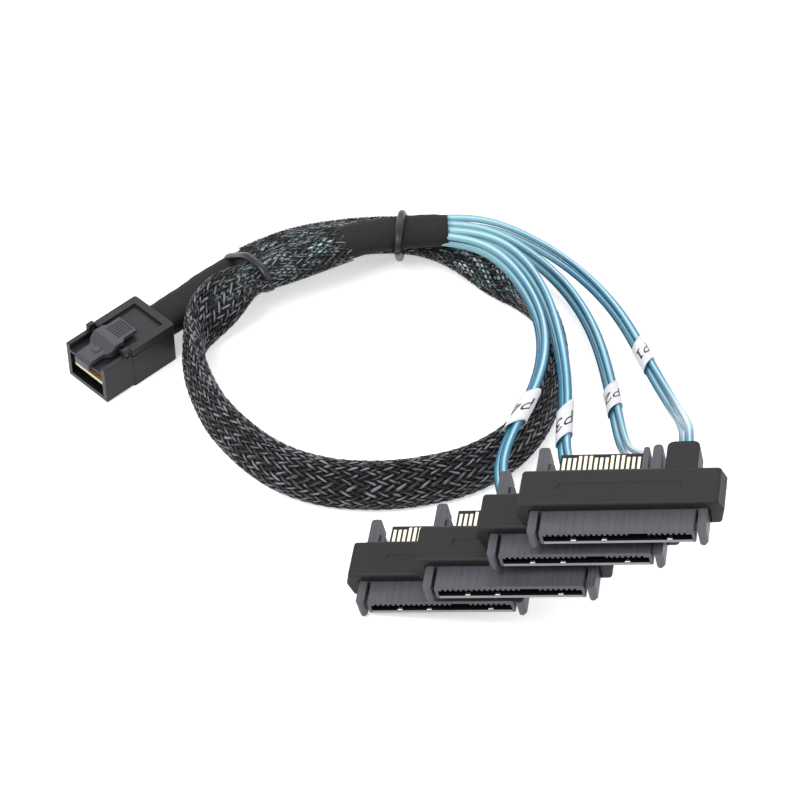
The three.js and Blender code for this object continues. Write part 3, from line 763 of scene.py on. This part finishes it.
def bundleCord(finish):
    # the body under the strands: the sleeve's oval, narrower where a tie or a tape holds it
    turn = np.linspace(0, 2 * math.pi, 48, endpoint=False)
    neck, breakout = bundle["underNeckTape"], bundle["underBreakoutTape"]
    shrink = pinch(bundleArc)
    shrink -= neck[0] * (1 - easeStep(bundleArc - arcs["neckEnd"], neck[1], neck[2]))
    shrink -= breakout[0] * easeStep(bundleArc - arcs["tapeStart"], breakout[1], breakout[2])
    half, thick = bundle["sleeveHalf"] - bundle["coreInset"], bundle["sleeveThick"] - bundle["coreInset"]
    x, y = ovalOutline(turn[None, :], half, thick, bundle["sleevePower"])
    outline = (x * shrink[:, None], y * shrink[:, None])
    return sweptTube("flatBundle", bundleLine, outline, finish, bundleRoll)


def braidStrands(finish):
    # Strands wind both ways: theta grows by 2 pi in one lay, start after start. A strand lifts and dips as
    # a cosine of its crossings, two over and two under. Its section is a low triangle, crown outwards.
    under = bundle["strandUnderTape"]
    first, last = arcs["neckEnd"] - under, arcs["tapeStart"] + under
    arc = np.linspace(first, last, int((last - first) / bundle["strandStep"]))[None, :]
    count = bundle["strands"]
    number = np.arange(count)[:, None]
    rate = 2 * math.pi / bundle["lay"]
    bends = count * rate / 2  # radians of its wave for each metre: a whole wave takes four crossings
    # the strand's edges lie square to its run, part along the sleeve and part round it
    lean = math.atan2(rate * bundle["meanRadius"], 1)
    light = 1 - easeStep(arc, *bundle["openUntil"]) + easeStep(arc, *bundle["openAgain"])
    side = bundle["strandHalf"] * (1 - bundle["openWeave"] * light)
    down, across = side * math.sin(lean), side * math.cos(lean)
    allPoints, allFaces, allEnds, allUv = [], [], [], []
    for way in (1, -1):
        theta = 2 * math.pi * number / count + way * rate * arc
        phase = math.pi * number + way * bends * arc - math.pi / 4
        lift = bundle["weaveLift"] * (1 + way * np.cos(phase))
        middle = bundleSurface(arc + 0 * theta, theta, lift + bundle["strandCrown"])
        around = np.hypot(bundle["sleeveHalf"] * np.sin(theta), bundle["sleeveThick"] * np.cos(theta))
        swing = across / (around + bundle["leastRadius"])
        left = bundleSurface(arc - way * down, theta + swing, lift)
        right = bundleSurface(arc + way * down, theta - swing, lift)
        rings = np.stack([left, middle, right], axis=2)
        rows = rings.shape[1]
        base = gridFaces(rows, 3)
        start = sum(len(p) for p in allPoints)
        allPoints.append(rings.reshape(-1, 3))
        offsets = (start + np.arange(count) * rows * 3)[:, None, None]
        allFaces.append((base[None] + offsets).reshape(-1, 4))
        # UV: x counts the floats, whole at the top of each; y is the share across, and 7 more each strand
        floats = phase / (2 * math.pi) + (0 if way > 0 else 0.5)
        u = np.repeat(floats, 3, axis=1)[:, base]
        v = np.tile(np.array([0.0, 0.5, 1.0]), rows)[base] + 7 * number[:, :, None] + (400 if way > 0 else 0)
        allUv.append(np.stack([u, v], axis=-1).reshape(-1, 2))
        ends = np.array([[2, 1, 0], [rows * 3 - 3, rows * 3 - 2, rows * 3 - 1]])
        allEnds.append((ends[None] + offsets).reshape(-1, 3))
    ends = np.vstack(allEnds)
    faces = np.vstack(allFaces).tolist() + ends.tolist()
    uv = np.vstack(allUv + [np.zeros((ends.size, 2))])
    return meshPiece("braidStrands", np.vstack(allPoints), faces, finish, uv=uv)


tapes = {
    "power": 2.5,
    "wrinkles": [(0.012, 23, 3), (0.008, 57, 5)],  # share of the width, waves along, waves round
    "lip": 0.03,  # share by which the two ends draw in
    "neck": {"halves": (0.0056, 0.0057), "thicks": (0.0032, 0.0027), "over": 0},
    "breakout": {"halves": (0.0057, 0.0056), "thicks": (0.0028, 0.0026), "over": 0.0021},
}


def tapeWrap(name, first, last, finish, sizes):
    # An oval sleeve round the bundle from first to last, with shallow wrinkles: two sines of the way
    # along and round. over is how far it runs on past the bundle's end.
    over = sizes["over"]
    keep = (bundleArc >= first) & (bundleArc <= last)
    line, roll = bundleLine[keep], bundleRoll[keep]
    if over:
        ahead = unit(line[-1] - line[-2])
        line = np.vstack([line, line[-1] + ahead * np.linspace(0.0005, over, 4)[:, None]])
        roll = np.append(roll, [roll[-1]] * 4)
    turn = np.linspace(0, 2 * math.pi, 64, endpoint=False)[None, :]
    share = np.linspace(0, 1, len(line))[:, None]
    x, y = ovalOutline(turn, 1, 1, tapes["power"])
    wrinkle = 1
    for depth, wavesAlong, wavesRound in tapes["wrinkles"]:
        wrinkle = wrinkle + depth * np.sin(share * wavesAlong + wavesRound * turn)
    half = sizes["halves"][0] + (sizes["halves"][1] - sizes["halves"][0]) * share
    thick = sizes["thicks"][0] + (sizes["thicks"][1] - sizes["thicks"][0]) * share
    lip = 1
    for end in (1, 0):
        lip = lip - tapes["lip"] * np.exp(-(((share - end) * len(line) / 3) ** 2))
    outline = (x * half * wrinkle * lip, y * thick * wrinkle * lip)
    return sweptTube(name, line, outline, finish, roll)


tapeCloth, wrapCloth = tapeFinish("clothTape", False), tapeFinish("wrapTape", True)
flatBundle = bundleCord(coreFinish())
strands = braidStrands(strandFinish())
neckTape = tapeWrap("neckTape", 0.0, arcs["neckEnd"], tapeCloth, tapes["neck"])
breakoutTape = tapeWrap("breakoutTape", arcs["tapeStart"], bundleArc[-1], wrapCloth, tapes["breakout"])
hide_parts("sleeve_first_pass", "sleeve_loop", "sleeve_return")
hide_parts("neck_tape")
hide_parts("breakout_tape")
print("bundle made")

# ties round both passes

tieValues = {
    "radius": 0.00102,
    "section": (0.94, 1.04),  # shares of the radius, outwards and along the bundle
    "passThick": 0.0026,  # half thickness of each pass where the band holds it
    "gap": 0.0003,
    "step": 0.0006,
    "tail": {"lean": (0.95, -0.25), "length": 0.0026, "sunk": 0.0006, "half": 0.00118, "taper": 0.12},
    "left": {"low": (0.0295, 0.0306, 0.0053), "high": (0.0325, 0.0236, 0.0105), "halves": (0.0046, 0.0051)},
    "right": {"low": (0.0732, 0.045, 0.0052), "high": (0.0722, 0.0402, 0.011), "halves": (0.0062, 0.0055)},
}


def tieBand(name, values, finish):
    # A round band on the hull of two ovals: each point is the farther oval's support point in its
    # direction, pushed out by the band's radius and a small gap
    radius = tieValues["radius"]
    near = np.argmin(np.linalg.norm(bundleLine - np.array(values["low"]), axis=1))
    along = bundleLine[near + 1] - bundleLine[near - 1]
    along = unit(along * (1, 1, 0))
    side = np.array([-along[1], along[0], 0])
    up = np.array([0, 0, 1.0])
    low, high = np.array(values["low"]), np.array(values["high"])
    away = high - low
    centres = np.array([[0, 0], [away @ side, away[2]]])
    angle = np.linspace(0, 2 * math.pi, 49)[:-1]
    normal = np.stack([np.cos(angle), np.sin(angle)], axis=1)
    supports = []
    for centre, half in zip(centres, values["halves"]):
        axes = np.array([half, tieValues["passThick"]])
        span = np.linalg.norm(axes * normal, axis=1, keepdims=True)
        supports.append(centre + axes**2 * normal / span)
    farther = (supports[0] * normal).sum(1) > (supports[1] * normal).sum(1)
    flat = np.where(farther[:, None], supports[0], supports[1]) + normal * (radius + tieValues["gap"])
    ring = low + flat[:, :1] * side + flat[:, 1:] * up
    ring = evenLine(np.vstack([ring, ring[:1]]), tieValues["step"])[:-1]
    for _ in range(6):  # each round evens out the corners
        ring = (np.roll(ring, 1, axis=0) + 2 * ring + np.roll(ring, -1, axis=0)) / 4
    tangent = unit(np.roll(ring, -1, axis=0) - np.roll(ring, 1, axis=0))
    outward = np.cross(tangent, along)
    turn = np.linspace(0, 2 * math.pi, 20, endpoint=False)
    outwards, lengthways = (radius * share for share in tieValues["section"])
    points = (
        ring[:, None]
        + outward[:, None] * (outwards * np.cos(turn))[None, :, None]
        + along * (lengthways * np.sin(turn))[None, :, None]
    )
    faces = ringFaces(*points.shape[:2])
    return meshPiece(name, points.reshape(-1, 3), faces, finish), ring, side


def tieTail(name, ring, side, finish):
    # A short rounded tail that leaves the band on the near side, turned about its own line. Its radius
    # is the half width, times the root of 1 less the share of its length to the sixth, with a taper.
    tail = tieValues["tail"]
    start = ring[np.argmin(ring @ side)]
    axis = unit(-side * tail["lean"][0] + np.array([0, 0, tail["lean"][1]]))
    t = np.linspace(0, 1, 16)[:, None]
    reach = tail["length"] * t - tail["sunk"]
    blunt = np.sqrt(np.clip(1 - (t * 1.02) ** 6, 0, 1))
    width = tail["half"] * blunt * (1 - tail["taper"] * t) + 0.00001
    turn = np.linspace(0, 2 * math.pi, 20, endpoint=False)[None, :]
    a = unit(np.cross(axis, [0, 0, 1.0]))
    b = np.cross(axis, a)
    points = start + axis * reach[..., None] + width[..., None] * (
        a * np.cos(turn)[..., None] + b * np.sin(turn)[..., None]
    )
    rows, columns = points.shape[:2]
    faces = gridFaces(rows, columns).tolist() + endFaces(rows, columns)
    return meshPiece(name, points.reshape(-1, 3), faces, finish)


tieRubber = speckedFinish("tieRubber")
tiePieces = []
for which in ("left", "right"):
    band, ring, side = tieBand(f"{which}Tie", tieValues[which], tieRubber)
    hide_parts(f"tie_{which}")
    tiePieces += [band, tieTail(f"{which}TieTail", ring, side, tieRubber)]
print("ties made")

bundleLine[::4].tolist() + [bundleLine[-1].tolist()]
[strands, neckTape, breakoutTape] + tiePieces

# leads, each two ribbons, from the breakout tape to a drive connector

pile = {
    "base": (0.0848, -0.0778, 0.00505),
    "turn": (4, -12, -9),  # pitch, roll and yaw in degrees
    "rise": 0.0081,
    "slides": [(0, 0), (0.0186, -0.002), (0.0167, 0.003), (0.011, 0)],
}


def pilePlaces():
    # built from the lowest connector up, and given from the highest down
    pitch, roll, yaw = (math.radians(v) for v in pile["turn"])
    turn = Matrix.Rotation(yaw, 4, "Z") @ Matrix.Rotation(pitch, 4, "X") @ Matrix.Rotation(roll, 4, "Y")
    spot = Vector(pile["base"])
    places = []
    for i, (along, back) in enumerate(pile["slides"]):
        spot = spot + turn.to_3x3() @ Vector((along, back, pile["rise"] if i else 0))
        places.append(Matrix.Translation(spot) @ turn)
    return places[::-1]


places = pilePlaces()

leadRoutes = [  # lead 1 first
    [
        (0.09, 0.0459, 0.0106), (0.0975, 0.0464, 0.0088), (0.1055, 0.0454, 0.0054), (0.115, 0.0404, 0.003),
        (0.124, 0.0301, 0.0022), (0.1305, 0.0187, 0.0022), (0.135, 0.006, 0.0026), (0.1374, -0.01, 0.006),
        (0.1384, -0.028, 0.0135),
    ],
    [
        (0.0903, 0.043, 0.0106), (0.0985, 0.0422, 0.0088), (0.1067, 0.0389, 0.0054), (0.1149, 0.0314, 0.003),
        (0.1209, 0.0203, 0.0022), (0.1248, 0.0072, 0.0022), (0.1269, -0.008, 0.003), (0.1276, -0.024, 0.007),
        (0.1276, -0.039, 0.0135),
    ],
    [
        (0.0903, 0.0393, 0.0114), (0.0969, 0.0353, 0.013), (0.1026, 0.0285, 0.0149),
        (0.1076, 0.0194, 0.0152), (0.1112, 0.0081, 0.0152), (0.1134, -0.0051, 0.0152),
        (0.1146, -0.0177, 0.0146), (0.1146, -0.028, 0.0116), (0.1134, -0.04, 0.0104),
    ],
    [
        (0.0896, 0.0354, 0.0122), (0.0957, 0.0306, 0.0144), (0.1013, 0.023, 0.0152), (0.106, 0.0134, 0.0152),
        (0.109, 0.0027, 0.0152), (0.1097, -0.0082, 0.0152), (0.1078, -0.0197, 0.0152),
        (0.1039, -0.0304, 0.0152), (0.0998, -0.0398, 0.0146), (0.0966, -0.047, 0.011),
    ],
]
leadValues = {
    "start": (0.0832, 0.0411, 0.011),
    "pitch": 0.0023,
    "step": 0.0007,
    "ease": 0.006,
    "bootMiddle": (0.0138, 0.0137, 0.0041),
    "bootGaps": (0.0032, 0.0003),  # how far behind the boot's middle the last two points lie
    "aside": 0.00058,
    "rise": 0.0008,
    "half": 0.00112,
    "thick": 0.00058,
    "power": 2.2,
    "dip": 0.3,  # share of its thickness that the ribbon loses between its two wires
    "dipHalf": 0.0003,
    "twist": 0.25,  # the two ribbons turn a little about each other
    "twistWaves": 90,
    # how far the last two route points are moved so that leads 1 and 2 run straight into their boots
    "lastMoves": [
        [(0.0013, 0, 0), (0.0031, 0, 0)],
        [(0, 0, 0), (0.0006, -0.007, 0.003)],
        [(0, 0, 0), (0, 0, 0)],
        [(0, 0, 0), (0, 0, 0)],
    ],
}


def leadLine(index):
    start = leadValues["start"]
    first = (start[0], start[1] + (1.5 - index) * leadValues["pitch"], start[2])
    mouth = Vector(leadValues["bootMiddle"])
    ends = [tuple(places[index] @ (mouth + Vector((0, gap, 0)))) for gap in leadValues["bootGaps"]]
    route = np.array(leadRoutes[index])
    route[-2:] += leadValues["lastMoves"][index]
    return routeLine([first, *route, *ends], leadValues["step"], leadValues["ease"])


def ribbonOutline():
    # two round wires side by side: an oval whose thickness dips in the middle, by a bell curve of x
    turn = np.linspace(0, 2 * math.pi, 28, endpoint=False)
    x, y = ovalOutline(turn, leadValues["half"], leadValues["thick"], leadValues["power"])
    dip = 1 - leadValues["dip"] * np.exp(-((x / leadValues["dipHalf"]) ** 2))
    return x, y * dip


def leadRibbon(name, line, side, finish):
    # One of the two ribbons of a lead: side is 1 for the upper one and -1 for the lower. Its UV's y is
    # then turned from millimetres round it into a share, from 0 to 1.
    _, across, up = lineFrame(line)
    s = arcLengths(line)
    own = line + side * (across * leadValues["aside"] + up * leadValues["rise"])
    lean = leadValues["twist"] * np.sin(s * leadValues["twistWaves"] + side)
    x, y = ribbonOutline()
    shape = (np.broadcast_to(x, (len(own), len(x))), np.broadcast_to(y, (len(own), len(y))))
    made = sweptTube(name, own, shape, finish, lean)
    layer = made.data.uv_layers["UVMap"]
    uv = np.zeros(2 * len(layer.data), np.float32)
    layer.data.foreach_get("uv", uv)
    uv = uv.reshape(-1, 2)
    uv[:, 1] /= uv[:, 1].max()
    layer.data.foreach_set("uv", uv.ravel())
    return made, own


markerValues = {
    "at": (0.0803, 0.0877, 0.0867, 0.0803),  # how far along its lead the middle of each is
    "length": 0.0115,
    "half": 0.0022,
    "thick": 0.0019,
    "power": 2.3,
    "wall": 0.94,  # the inner outline's share of the outer one
    "slant": 1.05,  # how far the cut ends lean back along the lead for each step across it
    "inkOff": 0.00003,
    "letterHeight": 0.0036,
    "letterWidth": 0.0031,
    "letterStep": 0.0026,
    "firstLetter": -0.0019,
    "pen": 0.00024,  # half the stroke's width
    "penStep": 0.00012,
}


def markerTube(name, line, middle, finish):
    # A slanted, slightly flattened tube with a wall: the outer outline out and back along the inner one
    axis = line[np.abs(arcLengths(line) - middle) <= markerValues["length"] / 2]
    turn = np.linspace(0, 2 * math.pi, 40, endpoint=False)[None, :]
    tangent, across, up = lineFrame(axis)
    x, y = ovalOutline(turn, markerValues["half"], markerValues["thick"], markerValues["power"])
    leaning = across - markerValues["slant"] * tangent
    offset = leaning[:, None] * x[..., None] + up[:, None] * y[..., None]
    outer, inner = axis[:, None] + offset, axis[:, None] + offset * markerValues["wall"]
    points = np.vstack([outer, inner[::-1]])
    made = meshPiece(name, points.reshape(-1, 3), ringFaces(*points.shape[:2]), finish)
    return made, (axis, across, up, tangent)


glyphs = {  # pen strokes in a square of side 1
    "P": [
        [(0, 0), (0, 1)],
        [(0, 1), (0.42, 1), (0.58, 0.9), (0.62, 0.76), (0.56, 0.6), (0.4, 0.5), (0, 0.48)],
    ],
    "1": [[(0.06, 0), (0.5, 0)], [(0.28, 0), (0.28, 1), (0.06, 0.86)]],
    "2": [
        [
            (0, 0.78), (0.08, 0.94), (0.3, 1), (0.52, 0.92), (0.58, 0.72), (0.46, 0.5),
            (0.02, 0.02), (0.62, 0.02), (0.62, 0.14),
        ],
    ],
    "3": [
        [
            (0.02, 0.86), (0.2, 1), (0.42, 0.98), (0.54, 0.82), (0.46, 0.62), (0.24, 0.53),
            (0.48, 0.44), (0.58, 0.24), (0.44, 0.04), (0.2, 0), (0, 0.14),
        ],
    ],
    "4": [[(0.44, 0), (0.44, 1), (0, 0.3), (0.64, 0.3)], [(0.26, 0), (0.6, 0)]],
}


def markerInk(name, text, tube, finish):
    # Pen strokes laid on the marker: each stroke is a ribbon in flat letter space, and its points are put
    # on the tube by distance round it and along it. The lettering reads upside down, as on the real one.
    axis, across, up, tangent = tube
    half, thick = (markerValues[side] + markerValues["inkOff"] for side in ("half", "thick"))
    size = (markerValues["letterWidth"], markerValues["letterHeight"])
    points, faces = [], []
    s = arcLengths(axis)
    turn = np.linspace(-math.pi / 2, math.pi * 1.5, 721)
    x, y = ovalOutline(turn, half, thick, markerValues["power"])
    distance = np.concatenate([[0], np.cumsum(np.hypot(np.diff(x), np.diff(y)))])
    top = np.interp(math.pi / 2, turn, distance)

    def onTube(flat):
        # flat x runs round the tube from its top, flat y runs along it
        place = np.interp(top + flat[:, 0], distance, turn)
        x, y = ovalOutline(place, half, thick, markerValues["power"])
        along = s[-1] / 2 + flat[:, 1] - x * markerValues["slant"]
        point, sideways, upwards = (readAt(along, s, values) for values in (axis, across, up))
        beyond = (along - np.clip(along, 0, s[-1]))[:, None] * tangent[len(s) // 2]
        return point + beyond + sideways * x[:, None] + upwards * y[:, None]

    for k, letter in enumerate(text):
        for stroke in glyphs[letter]:
            line = np.array(stroke, float) * size
            line[:, 0] += k * markerValues["letterStep"] + markerValues["firstLetter"]
            line[:, 1] -= size[1] / 2
            flat = np.column_stack([line, np.zeros(len(line))])
            dense = evenLine(flat, markerValues["penStep"])[:, :2]
            way = np.gradient(dense, axis=0)
            way /= np.linalg.norm(way, axis=1, keepdims=True) + 1e-12
            out = np.column_stack([-way[:, 1], way[:, 0]]) * markerValues["pen"]
            start = sum(len(p) for p in points)
            points.append(onTube(np.vstack([dense + out, dense - out])))
            n = len(dense)
            a = np.arange(n - 1) + start
            faces.append(np.stack([a, a + 1, a + 1 + n, a + n], axis=1))
    points, faces = np.vstack(points), np.vstack(faces)
    # a face that looks towards the lead is turned over
    corner = points[faces]
    looks = np.cross(corner[:, 2] - corner[:, 0], corner[:, 3] - corner[:, 1])
    nearest = axis[np.argmin(np.linalg.norm(corner[:, :1] - axis[None], axis=2), axis=1)]
    inward = (looks * (corner[:, 0] - nearest)).sum(1) < 0
    faces[inward] = faces[inward, ::-1]
    return meshPiece(name, points, faces, finish, smooth=False, closed=False)


leadPlastic = leadFinish()
markerWhite, markerBlack = speckedFinish("markerTube"), speckedFinish("markerInk")
for index in range(4):
    number = index + 1
    line = leadLine(index)
    tubePiece, tube = markerTube(f"marker{number}", line, markerValues["at"][index], markerWhite)
    ink = markerInk(f"markerText{number}", f"P{number}", tube, markerBlack)
    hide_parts(f"marker_{number}")
    for label, side in (("upper", 1), ("lower", -1)):
        ribbon, own = leadRibbon(f"lead{number}{label.capitalize()}", line, side, leadPlastic)
        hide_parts(f"lead_{number}_{label}")
        own[::2].tolist() + [own[-1].tolist()]
        [tubePiece, ink] if side > 0 else []
print("leads made")

# rigid pieces from the frame


def dress(node, finish):
    # a CAD node keeps its mesh and gets this finish
    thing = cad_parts[node]
    thing.data.materials.clear()
    thing.data.materials.append(finish.material)


plugPlastic, latchPlastic = plugFinish(), speckedFinish("latchPlastic")
dress("plug_housing", plugPlastic)
dress("plug_cover", plugPlastic)
dress("plug_latch", latchPlastic)
dress("latch_pin", steelFinish())
cardLaminate = cardFinish()
for node in ("edge_card_lower", "edge_card_upper"):
    dress(node, cardLaminate)
insertPlastic = speckedFinish("slotInsert")
bladeGold, contactGold = goldFinish("bladeGold"), goldFinish("contactGold")

blades = {
    "count": 15,
    "first": -0.0145,
    "pitch": 0.00127,
    "half": 0.00042,
    "back": 0.0062,
    "fronts": (0.01132, 0.01192),  # in threes: three short, three long
    "foot": 0.0043,
    "top": 0.00466,
}
slotTips = {  # three bright contact tips that show in the slot
    "middles": (-0.0103, -0.0031, 0.012),
    "half": 0.0006,
    "front": -0.0111,
    "back": -0.0104,
    "foot": 0.00169,
    "top": 0.002,
}


def plateRow(name, place, x, y, z, finish, bevel=0.00008):
    # A row of small plates with chamfered tops: each is three rings of four corners, from its foot up.
    # x, y and z are the low and high edges, each one number for all plates or an array with one for each.
    edges = np.stack(np.broadcast_arrays(*x, *y, *z), axis=-1)
    left, right, near, far, foot, top = (edges[:, k, None] for k in range(6))
    inset = np.array([0, 0, bevel])[None, :]
    level = np.hstack([foot, top - bevel, top])
    left, right, near, far = left + inset, right - inset, near + inset, far - inset
    corners = ((left, near, level), (right, near, level), (right, far, level), (left, far, level))
    points = np.stack([np.stack(corner, axis=-1) for corner in corners], axis=2).reshape(-1, 3)
    one = np.vstack([gridFaces(3, 4), [[3, 2, 1, 0], [8, 9, 10, 11]]])
    faces = (one[None] + (np.arange(len(edges)) * 12)[:, None, None]).reshape(-1, 4)
    turn = np.array(place)
    points = points @ turn[:3, :3].T + turn[:3, 3]
    return meshPiece(name, points, faces, finish, smooth=False)


order = np.arange(blades["count"])
bladeMiddles = blades["first"] + order * blades["pitch"]
bladeFronts = np.array(blades["fronts"])[order // 3 % 2]
tipMiddles = np.array(slotTips["middles"])
for index, place in enumerate(places):
    number = index + 1
    dress(f"connector_{number}_shell", shellFinish(place))
    mating = matingFinish(place)
    dress(f"connector_{number}_mating_body", mating)
    dress(f"connector_{number}_power_port", mating)
    dress(f"connector_{number}_contact_carrier", insertPlastic)
    plateRow(
        f"blades{number}",
        place,
        (bladeMiddles - blades["half"], bladeMiddles + blades["half"]),
        (blades["back"], bladeFronts),
        (blades["foot"], blades["top"]),
        bladeGold,
    )
    plateRow(
        f"slotTips{number}",
        place,
        (tipMiddles - slotTips["half"], tipMiddles + slotTips["half"]),
        (slotTips["front"], slotTips["back"]),
        (slotTips["foot"], slotTips["top"]),
        contactGold,
    )
print("connectors dressed")

# floor and light


def seenRays(start):
    # 1 for rays from the camera, off gloss and through clear things, 0 for those that carry light to pieces
    camera, gloss, clear = (start.node("ShaderNodeLightPath", out=ray) for ray in (0, 3, 6))
    return start.maths("MAXIMUM", camera, start.maths("MAXIMUM", gloss, clear))


def makeFloor():
    mesh = bpy.data.meshes.new("paperFloor")
    corners = np.array([(-1, -1), (1, -1), (1, 1), (-1, 1)]) * room["paperHalf"]
    mesh.from_pydata(np.column_stack([corners, np.full(4, -room["paperBelow"])]), [], [[0, 1, 2, 3]])
    paper = Finish("paperFloor", room["paper"], 0.9)
    fine = paper.noise(paper.place(), scale=60, detail=2)
    paper.feed("Roughness", fine * 0.1 + 0.85)
    paper.feed("Emission Color", seenRays(paper.start).mixTo((0, 0, 0, 1), (1, 1, 1, 1)))
    paper.feed("Emission Strength", room["paperGlow"])
    mesh.materials.append(paper.material)
    floor = bpy.data.objects.new("paperFloor", mesh)
    bpy.context.scene.collection.objects.link(floor)


def makeSky():
    # white where it is seen, and dimmer as a source of light
    world = bpy.data.worlds.new("studio")
    bpy.context.scene.world = world
    world.use_nodes = True
    tree = world.node_tree
    ground = tree.nodes["Background"]
    ground.inputs["Color"].default_value = (1, 1, 1, 1)
    level = seenRays(Signal(tree)) * (1 - room["skyLight"]) + room["skyLight"]
    tree.links.new(level.link, ground.inputs["Strength"])


def lamp(name, spot, size, power):
    data = bpy.data.lights.new(name, "AREA")
    data.shape = "RECTANGLE"
    data.size, data.size_y = size
    data.energy = power
    made = bpy.data.objects.new(name, data)
    bpy.context.scene.collection.objects.link(made)
    made.location = spot
    made.rotation_euler = (Vector(room["lookAt"]) - Vector(spot)).to_track_quat("-Z", "Y").to_euler()


makeFloor()
makeSky()
for name, (spot, size, power) in room["lamps"].items():
    lamp(name, spot, size, power)
bpy.context.scene.view_settings.view_transform = "Standard"
print("lit")
